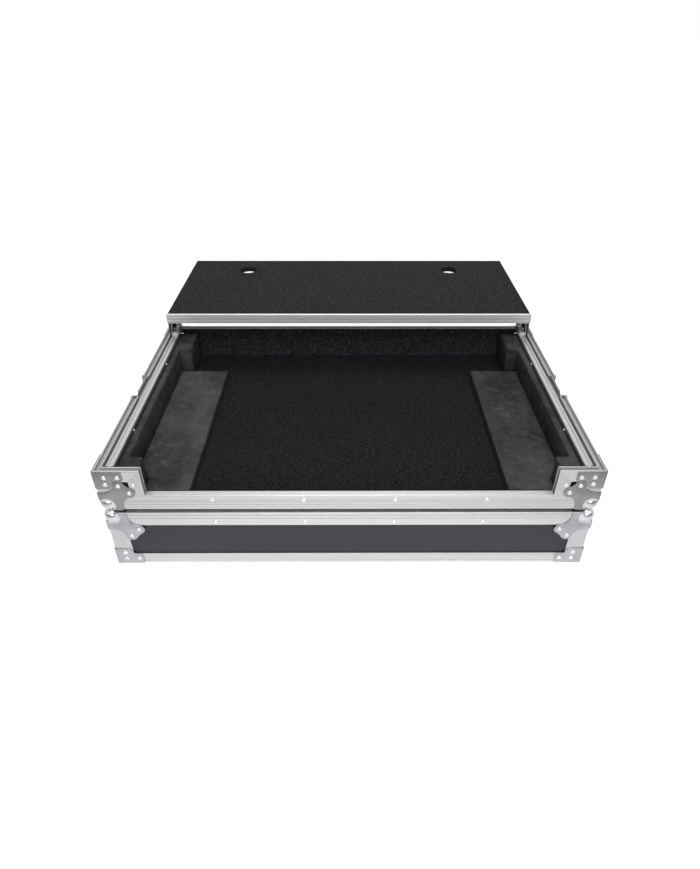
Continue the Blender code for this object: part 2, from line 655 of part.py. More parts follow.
# Guides for the shelf, along the inside of both side walls
def guide(label, side):
    ridge = TRACK_RIDGE
    track = [(0, 0), (ridge, 0), (ridge, -TRACK_GROOVE), (TRACK_WIDTH - ridge, -TRACK_GROOVE),
             (TRACK_WIDTH - ridge, 0), (TRACK_WIDTH, 0), (TRACK_WIDTH, -TRACK_HEIGHT), (0, -TRACK_HEIGHT)]
    placed = [(side * (TRACK_OUT - u), TRAY_RIM_Z + v) for u, v in track]
    piece(f"guide_track_{label}", prism_mesh(placed, GUIDE_FRONT, GUIDE_REAR, "Y"), ALUMINIUM)

    low = LINING_TOP_Z + FIT
    seat = TRAY_RIM_Z - TRACK_HEIGHT - FIT
    batten_out = HALF - PANEL_IN - FIT
    outline = [(batten_out, low), (batten_out, seat), (STRIP_OUT, seat), (STRIP_OUT, TRAY_RIM_Z - STRIP_DROP),
               (STRIP_IN, TRAY_RIM_Z - STRIP_DROP), (STRIP_IN, TRAY_RIM_Z - STRIP_HEIGHT),
               (TRACK_IN, TRAY_RIM_Z - STRIP_HEIGHT), (TRACK_IN, low)]
    placed = [(side * x, z) for x, z in outline]
    batten = prism_mesh(placed, GUIDE_FRONT, GUIDE_REAR, "Y")

    def screws(shape):
        for y in (NOTCH_MIDDLE, NOTCH_MIDDLE + SCREW_PITCH):
            foot = (side * STRIP_IN, y, TRAY_RIM_Z - SCREW_DROP)
            dome(shape, foot, (-side, 0, 0), SCREW_RADIUS, SCREW_HEAD)
    piece(f"guide_batten_{label}", boolean(batten, [mesh_from(screws)], "UNION"), BLACK_WOOD)


# Lining and foam
def linings():
    clear = HALF - PANEL_IN - FIT
    block_piece("floor_lining", FELT, (-clear, RIM_WIDTH + FIT, TRAY_FLOOR_Z + FIT),
                (clear, REAR_LINING_OUT - FIT, LINING_TOP_Z))
    # The rear lining steps forward of the rim and covers its inner face too.
    foot, step, top = LINING_TOP_Z + FIT, TRAY_RIM_Z - RIM_FACE - FIT, TRAY_RIM_Z - REAR_LINING_DROP
    outline = [(REAR_LINING_IN, foot), (REAR_LINING_OUT, foot), (REAR_LINING_OUT, step),
               (REAR_RIM_IN, step), (REAR_RIM_IN, top), (REAR_LINING_IN, top)]
    piece("rear_lining", prism_mesh(outline, -FOAM_OUT, FOAM_OUT, "X"), FELT)


def side_foam(label, side):
    """Foam wall with a block at each end, and the flat pad that the controller's edge rests on."""
    low = LINING_TOP_Z + FIT
    front, rear = RIM_WIDTH + FIT, REAR_LINING_IN - FIT
    out, wall, face = side * FOAM_OUT, side * FOAM_IN, side * FOAM_BLOCK_FACE
    front_end, rear_start = front + FRONT_BLOCK_DEPTH, rear - REAR_BLOCK_DEPTH
    outline = [(out, front), (face, front), (face, front_end), (wall, front_end),
               (wall, rear_start), (face, rear_start), (face, rear), (out, rear)]
    piece(f"foam_side_{label}", prism_mesh(outline, low, FOAM_TOP_Z, "Z"), FOAM)
    beside_block = side * (FOAM_BLOCK_FACE - FIT)
    beside_wall = side * (FOAM_IN - FIT)
    inner = side * PAD_INNER
    behind = front_end + FIT
    pad = [(inner, PAD_FRONT), (beside_block, PAD_FRONT), (beside_block, behind), (beside_wall, behind),
           (beside_wall, PAD_REAR), (inner, PAD_REAR)]
    piece(f"foam_pad_{label}", prism_mesh(pad, low, low + PAD_THICKNESS, "Z"), FOAM)


# Laptop shelf
def shelf_board():
    """Board with two cable holes; the front edging's lip lies in a rebate."""
    front = SHELF_FRONT + SHELF_EDGE_WALL + FIT
    behind_lip = SHELF_FRONT + SHELF_EDGE_LIP + FIT
    rebate = SHELF_TOP_Z - SHELF_EDGE_WALL - FIT
    top = SHELF_TOP_Z - SHELF_EDGE_PROUD
    outline = [(front, SHELF_UNDER_Z), (SHELF_REAR, SHELF_UNDER_Z), (SHELF_REAR, top), (behind_lip, top),
               (behind_lip, rebate), (front, rebate)]
    base = prism_mesh(outline, -SHELF_HALF, SHELF_HALF, "X")
    beyond = SHELF_BOARD / 2
    holes = [disc_mesh((side * CABLE_HOLE_X, SHELF_REAR - CABLE_HOLE_INSET), CABLE_HOLE_RADIUS,
                       SHELF_UNDER_Z - beyond, top + beyond, "Z", 32) for side in (-1, 1)]
    return piece("shelf_board", boolean(base, holes, "DIFFERENCE"), BLACK_BOARD, smooth=True)


def shelf_front_edge():
    """Ribbed aluminium channel round the board's front edge, with a deeper face below it."""
    face, lip, wall = SHELF_EDGE_FACE, SHELF_EDGE_LIP, SHELF_EDGE_WALL
    y = SHELF_FRONT
    top, under = SHELF_TOP_Z, SHELF_UNDER_Z - FIT
    bottom = top - face
    ribs = []
    for i in range(1, SHELF_EDGE_RIBS + 1):
        z = top - face * i / (SHELF_EDGE_RIBS + 1)
        ribs += [(y, z + RIDGE_WIDTH / 2), (y + RIDGE, z + RIDGE_WIDTH / 2),
                 (y + RIDGE, z - RIDGE_WIDTH / 2), (y, z - RIDGE_WIDTH / 2)]
    outline = [(y, top), *ribs, (y, bottom), (y + wall, bottom), (y + wall, under - wall),
               (y + lip, under - wall), (y + lip, under), (y + wall, under), (y + wall, top - wall),
               (y + lip, top - wall), (y + lip, top)]
    return piece("shelf_front_edge", prism_mesh(outline, -SHELF_EDGE_HALF, SHELF_EDGE_HALF, "X"), ALUMINIUM)


def shelf_bracket(label, side):
    """Saddle over the guide track: a leg in the slot, a leg inside, a glide and a plate under the board."""
    top = SHELF_UNDER_Z - FIT
    out_face, in_face = BRACKET_OUT, BRACKET_OUT - BRACKET_PLATE
    leg_out = TRACK_IN - FIT
    leg_in = leg_out - BRACKET_PLATE
    wide = leg_out - BRACKET_SPREAD
    crown = (in_face + leg_out) / 2
    outline = [(out_face, top), (out_face, TRAY_RIM_Z - BRACKET_DIP), (in_face, TRAY_RIM_Z - BRACKET_DIP),
               (in_face, TRAY_RIM_Z + GLIDE_HEIGHT), (crown, TRAY_RIM_Z + BRACKET_CROWN),
               (leg_out, TRAY_RIM_Z + GLIDE_HEIGHT), (leg_out, TRAY_RIM_Z + BRACKET_FOOT),
               (leg_in, TRAY_RIM_Z + BRACKET_FOOT), (wide, TRAY_RIM_Z + BRACKET_SPREAD), (wide, top)]
    back = BRACKET_FRONT + BRACKET_LENGTH
    legs = prism_mesh([(side * x, z) for x, z in outline], BRACKET_FRONT, back, "Y")
    x0, x1 = mirrored(side, out_face - BRACKET_REACH, out_face - STEP)
    arm = block_mesh((x0, BRACKET_FRONT + STEP, top - BRACKET_PLATE),
                     (x1, BRACKET_FRONT + BRACKET_ARM, top - STEP))

    groove_out, groove_in = TRACK_OUT - TRACK_RIDGE - GLIDE_PLAY, TRACK_IN + TRACK_RIDGE + GLIDE_PLAY
    sole, crest = TRAY_RIM_Z + FIT, TRAY_RIM_Z + GLIDE_HEIGHT
    key = TRAY_RIM_Z - TRACK_GROOVE + GLIDE_PLAY
    outline = [(in_face + LAP, sole), (groove_out, sole), (groove_out, key), (groove_in, key),
               (groove_in, sole), (leg_in + LAP, sole + BRACKET_FOOT), (leg_in + LAP, crest - STEP),
               (in_face + LAP, crest - STEP)]
    glide = prism_mesh([(side * x, z) for x, z in outline], BRACKET_FRONT + LAP, back - LAP, "Y")

    def bolts(shape):
        for along, up in BOLT_PLACES:
            foot = (side * wide, BRACKET_FRONT + along, TRAY_RIM_Z + BRACKET_SPREAD + up)
            dome(shape, foot, (-side, 0, 0), BOLT_RADIUS, BOLT_HEAD, 6)
    whole = boolean(legs, [arm, glide, mesh_from(bolts)], "UNION")
    return piece(f"shelf_bracket_{label}", whole, BLACK_STEEL)


# Latches in the tray's sides, keepers in the lid's sides
def dish(side, level, rise):
    """Pressed dish in the notch, open towards the rim, with a flange on its other three sides."""
    half = NOTCH_WIDTH / 2 - FIT
    bottom = NOTCH_DEPTH - FIT
    floor_out, face = HALF - DISH_DEPTH, HALF + FIT

    def slab(y_half, low, high, x_in, x_out):
        x0, x1 = mirrored(side, x_in, x_out)
        z0, z1 = sorted((level + rise * low, level + rise * high))
        return block_mesh((x0, NOTCH_MIDDLE - y_half, z0), (x1, NOTCH_MIDDLE + y_half, z1))
    body = slab(half, FIT, bottom, floor_out - DISH_WALL, face + PLATE - STEP)
    flange = slab(half + DISH_FLANGE, FIT + STEP, bottom + DISH_FLANGE, face, face + PLATE)
    hollow = slab(half - DISH_WALL, -NOTCH_DEPTH, bottom - DISH_WALL, floor_out, HALF + RIM_WIDTH)
    return boolean(boolean(body, [flange], "UNION"), [hollow], "DIFFERENCE")


def latch(label, side):
    """Butterfly latch: a key turned by two folding wings draws the hook plate down."""
    axis_z = TRAY_RIM_Z - LATCH_DROP
    hook_in = HALF - DISH_DEPTH + FIT
    hook_out = hook_in + HOOK_PLATE
    disc_in = hook_out + FIT
    disc_out = disc_in + KEY_DISC
    wing_middle = disc_out + FIT + WING_PLATE / 2
    piece(f"latch_dish_{label}", dish(side, TRAY_RIM_Z, -1), ZINC)

    low, high = TRAY_RIM_Z - HOOK_DROP, TRAY_RIM_Z - HOOK_TOP
    nose, chin = hook_in + HOOK_NOSE, high - HOOK_NOSE_HEIGHT
    outline = [(hook_in, low), (hook_in, high), (nose, high), (nose, chin), (hook_out, chin), (hook_out, low)]
    plate = prism_mesh([(side * x, z) for x, z in outline], NOTCH_MIDDLE - HOOK_WIDTH / 2,
                       NOTCH_MIDDLE + HOOK_WIDTH / 2, "Y")
    slot = SPINDLE_RADIUS + FIT
    opening = arc((NOTCH_MIDDLE, axis_z), slot, 180, 360, 8)
    opening += arc((NOTCH_MIDDLE, axis_z + HOOK_STROKE), slot, 0, 180, 8)
    x0, x1 = mirrored(side, hook_in - HOOK_PLATE, hook_out + HOOK_PLATE)
    window = prism_mesh(opening, x0, x1, "X")
    piece(f"latch_hook_{label}", boolean(plate, [window], "DIFFERENCE"), ZINC)

    centre = (NOTCH_MIDDLE, axis_z)
    middle = disc_in + KEY_DISC / 2
    spindle = disc_mesh(centre, SPINDLE_RADIUS, *mirrored(side, hook_in, middle), "X", 16)
    washer = disc_mesh(centre, KEY_DISC_RADIUS, *mirrored(side, disc_in, disc_out), "X", 20)
    x0, x1 = mirrored(side, middle, disc_out + SPINE)
    spine = block_mesh((x0, NOTCH_MIDDLE - SPINE_HALF_WIDTH, axis_z - SPINE_HALF_HEIGHT),
                       (x1, NOTCH_MIDDLE + SPINE_HALF_WIDTH, axis_z + SPINE_HALF_HEIGHT))
    piece(f"latch_key_{label}", boolean(washer, [spindle, spine], "UNION"), ZINC)

    root = SPINE_HALF_WIDTH + 2 * FIT
    for place, end in ENDS:
        outline = [(root, -WING_ROOT), (WING_SHOULDER, -WING_ROOT), (WING_REACH, -WING_TIP),
                   (WING_REACH, WING_TIP), (WING_SHOULDER, WING_ROOT), (root, WING_ROOT)]
        placed = [(end * (y - KNUCKLE), z) for y, z in outline]
        plate = prism_mesh(placed, -WING_PLATE / 2, WING_PLATE / 2, "X")
        fold = (side * wing_middle, NOTCH_MIDDLE + end * KNUCKLE, axis_z)
        piece(f"latch_wing_{place}_{label}", plate, ZINC, fold)
        print(f"wing {place} {label} folds about x {fold[0]:.5f} y {fold[1] - FOOTPRINT_MIDDLE:.5f}")
    print(f"key {label} turns about y {NOTCH_MIDDLE - FOOTPRINT_MIDDLE:.5f} z {axis_z:.5f}")


def keeper(label, side):
    """Dish in the lid's rim with the lip that the hook draws on."""
    x0, x1 = mirrored(side, HALF - DISH_DEPTH - DISH_WALL / 2, HALF - DISH_DEPTH + KEEPER_LIP)
    y0, y1 = NOTCH_MIDDLE - KEEPER_WIDTH / 2, NOTCH_MIDDLE + KEEPER_WIDTH / 2
    low = LID_RIM_Z + KEEPER_SETBACK
    lip = block_mesh((x0, y0, low), (x1, y1, low + KEEPER_THICKNESS))
    piece(f"lid_keeper_{label}", boolean(dish(side, LID_RIM_Z, 1), [lip], "UNION"), ZINC)


lid_shell()
tray_shell()
for corner, side, end in CORNERS:
    ball_corner(f"lid_ball_corner_{corner}", side, end, LID_TOP_Z, -1)
    rim_brace(f"lid_brace_{corner}", side, end, LID_RIM_Z, 1,
              LID_BRACE_POST, LID_BRACE_RUN, LID_BRACE_ARC)
    ball_corner(f"tray_ball_corner_{corner}", side, end, TRAY_BOTTOM_Z, 1)
    rim_brace(f"tray_brace_{corner}", side, end, TRAY_RIM_Z, -1,
              TRAY_BRACE_POST, TRAY_BRACE_RUN, TRAY_BRACE_ARC)
linings()
shelf_board()
shelf_front_edge()
for label, side in SIDES:
    guide(label, side)
    side_foam(label, side)
    shelf_bracket(label, side)
    latch(label, side)
    keeper(label, side)

bpy.context.view_layer.update()
solids = [thing for thing in bpy.data.objects if thing.type == "MESH"]
points = [thing.matrix_world @ vertex.co for thing in solids for vertex in thing.data.vertices]
print("pieces", len(solids))
print("triangles", sum(len(face.vertices) - 2 for thing in solids for face in thing.data.polygons))
print("box", [[round(pick(point[axis] for point in points), 5) for axis in range(3)] for pick in (min, max)])
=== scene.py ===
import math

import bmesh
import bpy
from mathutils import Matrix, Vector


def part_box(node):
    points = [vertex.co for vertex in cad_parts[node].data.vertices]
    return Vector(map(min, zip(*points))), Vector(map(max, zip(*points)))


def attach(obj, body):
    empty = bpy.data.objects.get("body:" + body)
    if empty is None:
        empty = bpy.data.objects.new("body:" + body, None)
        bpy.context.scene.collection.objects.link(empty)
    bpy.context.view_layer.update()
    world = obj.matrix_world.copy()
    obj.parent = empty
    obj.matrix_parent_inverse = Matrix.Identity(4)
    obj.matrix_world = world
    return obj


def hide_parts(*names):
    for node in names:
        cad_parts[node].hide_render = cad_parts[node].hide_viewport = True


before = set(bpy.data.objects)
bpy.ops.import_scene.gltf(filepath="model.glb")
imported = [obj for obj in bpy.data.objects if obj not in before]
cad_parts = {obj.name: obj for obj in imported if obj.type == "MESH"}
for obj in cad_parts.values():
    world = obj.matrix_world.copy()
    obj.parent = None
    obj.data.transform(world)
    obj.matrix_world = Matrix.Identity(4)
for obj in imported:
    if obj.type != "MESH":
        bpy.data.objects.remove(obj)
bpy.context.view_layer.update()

# %% [markdown]
# # A flight case for a DJ controller
# The case is drawn open: its tray, with foam walls and a sliding laptop shelf, stands on its own lid, which
# lies rim down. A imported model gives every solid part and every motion. This lesson dresses it: new pieces
# go exactly where the model says, and simple parts of the model are kept and given a finish.
#
# First come the sizes. They could be typed in, but boxes read from the model can't drift away from it. The
# boards lie 2 mm behind the aluminium's outer faces, so the floor's box gives the whole outside of the case.

MM = 0.001
BEHIND_SKIN, RIM_BELOW_BOARD = 2 * MM, 8.3 * MM
floor_low, floor_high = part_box("tray_floor_panel")
HALF = floor_high.x + BEHIND_SKIN
FRONT, REAR = floor_low.y - BEHIND_SKIN, floor_high.y + BEHIND_SKIN
TRAY_BOTTOM, TRAY_RIM = floor_low.z - BEHIND_SKIN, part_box("tray_rim_left")[1].z
LID_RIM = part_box("lid_left_panel")[0].z - RIM_BELOW_BOARD
LID_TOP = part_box("lid_top_panel")[1].z + BEHIND_SKIN
LATCH_Y = (FRONT + REAR) / 2
print(f"outside {2 * HALF / MM:.1f} x {(REAR - FRONT) / MM:.1f} mm, lid {LID_RIM:.4f} to {LID_TOP:.4f}, "
      f"tray {TRAY_BOTTOM:.4f} to {TRAY_RIM:.4f}")

# %% [markdown]
# ## The camera
# The camera stands about 0.7 m in front of the case and looks down at 36 degrees. It could be aimed with a
# Track To constraint, but here its three axes are worked out, so that they also hold the small turn and
# roll that a camera has when it is held by hand.

# %% Place the camera
PITCH, YAW, ROLL = math.radians(35.63), math.radians(0.28), math.radians(0.11)
ahead = Vector((math.sin(YAW) * math.cos(PITCH), math.cos(YAW) * math.cos(PITCH), -math.sin(PITCH)))
level_right = Vector((math.cos(YAW), -math.sin(YAW), 0))
level_up = level_right.cross(ahead)
right = level_right * math.cos(ROLL) + level_up * math.sin(ROLL)
up = level_up * math.cos(ROLL) - level_right * math.sin(ROLL)
lens = bpy.data.cameras.new("camera")
lens.lens, lens.sensor_width, lens.clip_start = 25.30, 36.0, 0.01
camera = bpy.data.objects.new("camera", lens)
stand = Matrix.Translation((-0.0033, -1.1259, 0.8042))
camera.matrix_world = stand @ Matrix((right, up, -ahead)).transposed().to_4x4()
bpy.context.scene.collection.objects.link(camera)
bpy.context.scene.camera = camera
print("camera at", [round(v, 3) for v in camera.location], "looking along", [round(v, 3) for v in ahead])

# %% [markdown]
# ## Writing shader maths as plain sums
# A finish is a small tree of nodes. Placed by hand it is hard to read, so some helpers are used. `Value`
# wraps one output of a node, and every sum on it adds a Math node, so `1 - mask` can be written as it
# stands. `Nodes` adds any other node from a type, its settings and its values.

# %% Helpers for node trees
class Value:
    """A number that changes over a surface."""

    def __init__(self, owner, socket):
        self.owner, self.socket = owner, socket

    def sum(self, operation, *values):
        node = self.owner.node("ShaderNodeMath", {"operation": operation}, dict(enumerate(values)))
        return Value(self.owner, node.outputs[0])

    def __add__(self, other):
        return self.sum("ADD", self, other)

    def __sub__(self, other):
        return self.sum("SUBTRACT", self, other)

    def __rsub__(self, other):
        return self.sum("SUBTRACT", other, self)

    def __mul__(self, other):
        return self.sum("MULTIPLY", self, other)

    __radd__, __rmul__ = __add__, __mul__

    def between(self, low, high):
        """0 at low and below, 1 at high and above, and a straight rise between."""
        node = self.owner.node("ShaderNodeMapRange", {"clamp": True}, {0: self, 1: low, 2: high})
        return Value(self.owner, node.outputs[0])


class Nodes:
    """The nodes of one material or of the world."""

    def __init__(self, tree):
        self.tree = tree

    def node(self, kind, settings=None, values=None):
        made = self.tree.nodes.new(kind)
        for name, setting in (settings or {}).items():
            setattr(made, name, setting)
        for name, value in (values or {}).items():
            self.plug(made.inputs[name], value)
        return made

    def plug(self, socket, value):
        """Link a node's output, or set a value. A colour is given as three numbers."""
        value = value.socket if isinstance(value, Value) else value
        if isinstance(value, bpy.types.NodeSocket):
            self.tree.links.new(value, socket)
        else:
            socket.default_value = (*value, 1) if socket.type == "RGBA" else value


print("node helpers ready")

# %% [markdown]
# `Finish` owns one material with a Principled shader. Numbers that are the same all over are set on the
# shader itself, and only what changes over the surface is linked. Its patterns are in metres on the object,
# so that a grain keeps its true size on every piece.

# %% The helper for finishes
class Finish(Nodes):
    """One material, with the patterns that feed it."""

    def __init__(self, name, colour, roughness, **same_all_over):
        self.material = bpy.data.materials.new(name)
        self.material.use_nodes = True
        super().__init__(self.material.node_tree)
        self.shader = self.tree.nodes["Principled BSDF"]
        self.set(Base_Color=colour, Roughness=roughness, **same_all_over)
        self.material.diffuse_color = (*colour, 1)

    def set(self, **values):
        for name, value in values.items():
            self.plug(self.shader.inputs[name.replace("_", " ")], value)

    def mix(self, factor, first, second):
        return self.node("ShaderNodeMix", {"data_type": "RGBA"}, {0: factor, 6: first, 7: second}).outputs[2]

    def places(self, stretch=(1, 1, 1)):
        """Coordinates on the object itself, stretched."""
        here = self.node("ShaderNodeTexCoord").outputs["Object"]
        return self.node("ShaderNodeVectorMath", {"operation": "MULTIPLY"}, {0: here, 1: stretch}).outputs[0]

    def clouds(self, scale, stretch=(1, 1, 1), detail=3.0, roughness=0.5):
        values = {"Vector": self.places(stretch), "Scale": scale, "Detail": detail, "Roughness": roughness}
        return Value(self, self.node("ShaderNodeTexNoise", {}, values).outputs["Fac"])

    def cells(self, scale):
        values = {"Vector": self.places(), "Scale": scale}
        return Value(self, self.node("ShaderNodeTexVoronoi", {}, values).outputs["Distance"])

    def relief(self, height, depth, strength):
        """Raise the surface by depth metres where height is 1."""
        values = {"Height": height, "Distance": depth, "Strength": strength}
        self.set(Normal=self.node("ShaderNodeBump", {}, values).outputs[0])


print("finish helper ready")

# %% [markdown]
# ## Anodised aluminium
# The edge angles and rims are extruded: the die leaves very fine straight lines along the whole bar, and
# the anodising makes them satin. The lines could come from an anisotropic shader, but a stretched noise
# also shows them as faint light and dark streaks, as on the real bars. The streaks have to follow each
# bar, so the finish is made for each direction. The shelf's edging is more matt, and the upward faces of its
# lip get a lighter copy, a painted highlight.

# %% The aluminium, for each direction in which a bar can run
def anodised(name, run, metallic=0.65, dark=0.60, light=0.80):
    finish = Finish(name, (0.68, 0.68, 0.68), 0.32, Metallic=metallic)
    lines = finish.clouds(2.0, [0.8 if axis == run else 420 for axis in range(3)], 3.0, 0.6)
    bands = finish.clouds(2.0, [0.12 if axis == run else 110 for axis in range(3)], 2.0)
    wear = finish.clouds(34.0, detail=5.0).between(0.50, 0.78)
    tone = finish.mix(lines * 0.55 + bands * 0.45, (dark, dark, dark * 1.01), (light, light, light * 1.01))
    finish.set(Base_Color=finish.mix(wear * 0.10, tone, (0.56, 0.56, 0.55)),
               Roughness=lines * 0.10 + bands * 0.05 + wear * 0.03 + 0.24)
    finish.relief(lines, 0.03 * MM, 0.5)
    return finish.material


aluminium = {"across": anodised("anodised_aluminium_across", 0),
             "along": anodised("anodised_aluminium_along", 1),
             "upright": anodised("anodised_aluminium_upright", 2, 0.65, 0.54, 0.72),
             "shelf": anodised("satin_aluminium_shelf", 0, 0.05, 0.82, 0.96),
             # lip: a lighter copy of the shelf's aluminium, a painted highlight on the edging's top
             "lip": anodised("painted_highlight_lip", 0, 0.80, 0.86, 0.98)}
print("aluminium finishes:", ", ".join(aluminium))

# %% [markdown]
# The grooves in the bars look darker than their faces, mostly from the shade that falls into them and a
# little from dust. Shade alone would give this only in narrow grooves, so the floor of each groove gets
# painted shade: a duller, darker grey finish of its own.

# %% The painted shade inside grooves
def groove_shade_finish():
    # Painted shade: the groove floors get a darker, duller grey, with a little dust in it.
    finish = Finish("painted_groove_shade", (0.33, 0.33, 0.34), 0.50, Metallic=0.6)
    shade_and_dust = finish.clouds(180.0, detail=5.0, roughness=0.7)
    finish.set(Base_Color=finish.mix(shade_and_dust, (0.38, 0.38, 0.385), (0.54, 0.54, 0.55)),
               Roughness=shade_and_dust * 0.3 + 0.4)
    finish.relief(shade_and_dust, 0.04 * MM, 0.5)
    return finish.material


painted_groove_shade = groove_shade_finish()
print("groove finish:", painted_groove_shade.name)

# %% [markdown]
# ## Steel of the corners, braces, latches and rivets
# The corners are pressed from zinc-plated steel. The plating is a little cloudy and takes fine scratches
# where cases are pushed against each other. The lid's and the tray's plates are the same steel in two copies:
# the tray's is painted darker as shade, and the lid's paler with a violet cast as painted light.
# A ball is polished by the press and nearly mirrors the room, and a rivet's head is bright aluminium. One
# recipe gives all of them, with other numbers.

# %% The plated steels
def plated(name, dark, light, roughness, clouding, scratching=1.0):
    finish = Finish(name, light, roughness, Metallic=1.0)
    cloud = finish.clouds(38.0, detail=4.0)
    grain = finish.clouds(900.0, detail=2.0)
    field = finish.clouds(60.0, (14, 1, 3), 6.0, 0.75)
    scratches = field.between(0.47, 0.50) * (1 - field.between(0.50, 0.53))
    tone = finish.mix(cloud.between(0.30, 0.72), dark, light)
    finish.set(Base_Color=finish.mix(scratches * (0.22 * scratching), tone, (0.9, 0.9, 0.9)),
               Roughness=cloud * clouding + grain * 0.06 + scratches * 0.08 + roughness)
    finish.relief(grain * 0.5 + cloud * 0.5, 0.03 * MM, 0.35)
    return finish.material


# Two copies of one steel: the tray's painted darker as shade, the lid's paler and violet as painted light.
plate_steel = {"tray": plated("zinc_painted_shade", (0.235, 0.235, 0.235), (0.315, 0.315, 0.315), 0.24, 0.16),
               "lid": plated("zinc_painted_light", (0.375, 0.366, 0.40), (0.48, 0.471, 0.513), 0.24, 0.16)}
ball_steel = plated("polished_zinc", (0.55, 0.54, 0.57), (0.72, 0.71, 0.74), 0.06, 0.05, 0.4)
rivet_metal = plated("rivet_aluminium", (0.74, 0.74, 0.74), (0.90, 0.90, 0.90), 0.16, 0.08, 0.3)
print("steel finishes: 4")

# %% [markdown]
# ## Laminated board
# The walls are 8 mm plywood with a thin plastic laminate, nearly black with a violet cast. The laminate is
# embossed so finely that it only softens its shine. An image would show the emboss, but noise at two sizes
# does it without one, and a slow cloud keeps a long wall from looking painted in one tone.

# %% The wall laminate
def laminate():
    finish = Finish("violet_black_laminate", (0.018, 0.016, 0.025), 0.42)
    emboss = finish.clouds(1500.0)
    scuffs = finish.clouds(40.0, (6, 6, 1), 6.0, 0.7).between(0.66, 0.80)
    tone = finish.mix(finish.clouds(5.0, (1, 1, 2)), (0.010, 0.008, 0.019), (0.017, 0.014, 0.030))
    finish.set(Base_Color=finish.mix(scuffs * 0.22, tone, (0.09, 0.09, 0.10)),
               Roughness=emboss * 0.14 + scuffs * 0.12 + 0.33)
    finish.relief(emboss, 0.06 * MM, 0.5)
    return finish.material


wall_laminate = laminate()
print("laminate:", wall_laminate.name)

# %% [markdown]
# ## The shelf's textured board
# The laptop shelf has a slip-proof coat: small round pebbles, about half a millimetre apart, in matt black.
# Cells of a Voronoi texture are such pebbles, and their raised middles are painted a little lighter, a
# painted highlight. Clumps and flecks of three sizes keep the coat from looking even.

# %% The shelf board's coat
def pebbled():
    finish = Finish("pebbled_black_coat", (0.020, 0.020, 0.021), 0.75, Specular_IOR_Level=0.12)
    pebble_and_highlight = 1 - finish.cells(1250.0).between(0.05, 0.75)
    drift = finish.clouds(9.0, detail=4.0)
    clump = finish.clouds(420.0, roughness=0.7).between(0.36, 0.66)
    fleck = finish.clouds(1100.0, detail=1.0).between(0.60, 0.76)
    speck = finish.clouds(210.0, detail=2.0, roughness=0.6).between(0.52, 0.64)
    # The pebbles' raised middles are painted lighter here, a painted highlight.
    tone = finish.mix(drift * 0.2 + pebble_and_highlight * 0.3 + clump * 0.5, (0.004, 0.004, 0.005), (0.022, 0.022, 0.023))
    finish.set(Base_Color=finish.mix(fleck * 0.30 + speck * 0.40, tone, (0.085, 0.085, 0.085)),
               Roughness=drift * 0.10 + 0.68)
    finish.relief(pebble_and_highlight * 0.6 + clump * 0.4, 0.18 * MM, 0.8)
    return finish.material


shelf_coat = pebbled()
print("shelf coat:", shelf_coat.name)

# %% [markdown]
# ## Foam
# The walls and pads are closed-cell foam, cut with a knife. Seen close it is full of tiny pores; seen from
# afar the top faces show soft lighter smudges where the foam was pressed or dusty. Pores are a fine cell
# texture pushed in, smudges are slow clouds in the colour. Foam hardly shines, so its specular level is low.

# %% The packing foam
def packing_foam():
    finish = Finish("charcoal_foam", (0.085, 0.085, 0.086), 0.95, Specular_IOR_Level=0.05)
    pores = finish.cells(1050.0).between(0.10, 0.55)
    smudge = finish.clouds(8.0, (1, 0.6, 1), 5.0, 0.60).between(0.36, 0.66)
    marks = finish.clouds(60.0, detail=6.0, roughness=0.7).between(0.50, 0.74)
    tone = finish.mix(smudge, (0.046, 0.046, 0.047), (0.128, 0.128, 0.126))
    tone = finish.mix(marks * 0.45, tone, (0.230, 0.230, 0.226))
    finish.set(Base_Color=finish.mix((1 - pores) * 0.45, tone, (0.012, 0.012, 0.012)),
               Roughness=pores * 0.06 + 0.90)
    finish.relief(pores * 0.7 + smudge * 0.3, 0.12 * MM, 0.8)
    return finish.material


foam = packing_foam()
print("foam:", foam.name)

# %% [markdown]
# ## Felt linings
# The floor and the rear wall are lined with thin black needle felt, a mat of short fibres. It is the
# darkest part of the case, with a fine salt of lighter fibre ends. Noise pulled long in two directions
# looks like fibres; the rear lining is looser and shows more of them. Its frayed edge is nearly all fibre.

# %% The felt, for the floor, the rear wall and the frayed edge
def felt(name, ground, fibre, amount):
    finish = Finish(name, ground, 1.0, Specular_IOR_Level=0.03)
    one_way = finish.clouds(700.0, (1, 0.25, 1), 2.0).between(0.56, 0.74)
    other_way = finish.clouds(700.0, (0.25, 1, 0.5), 2.0).between(0.57, 0.75)
    mat = finish.clouds(240.0, detail=5.0, roughness=0.7)
    ends = (one_way + other_way) * mat
    tone = finish.mix(finish.clouds(6.0), ground, [v * 1.7 for v in ground])
    nap = finish.clouds(420.0, detail=4.0, roughness=0.75).between(0.45, 0.62)
    finish.set(Base_Color=finish.mix(ends * amount + nap * 0.42, tone, fibre))
    finish.relief(mat * 0.6 + ends * 0.4, 0.35 * MM, 0.9)
    return finish.material


floor_felt = felt("floor_felt", (0.0080, 0.0080, 0.0085), (0.085, 0.085, 0.087), 0.85)
wall_felt = felt("wall_felt", (0.0110, 0.0110, 0.0135), (0.150, 0.146, 0.168), 1.0)
frayed_felt = felt("frayed_felt", (0.10, 0.10, 0.10), (0.50, 0.50, 0.50), 1.0)
print("felts: 3")

# %% [markdown]
# ## Painted steel, nylon and blacked wood
# The shelf's brackets are steel with a black powder coat, which is slightly pebbly, and their inner plates
# are cast, rough and greyer. They slide on pale nylon blocks. The battens behind the guide tracks are
# softwood, stained black, with their grain along the case. The coat has a noise for its peel and one for
# rubbed places; the others are one noise between a dark and a light tone, so one recipe makes them.

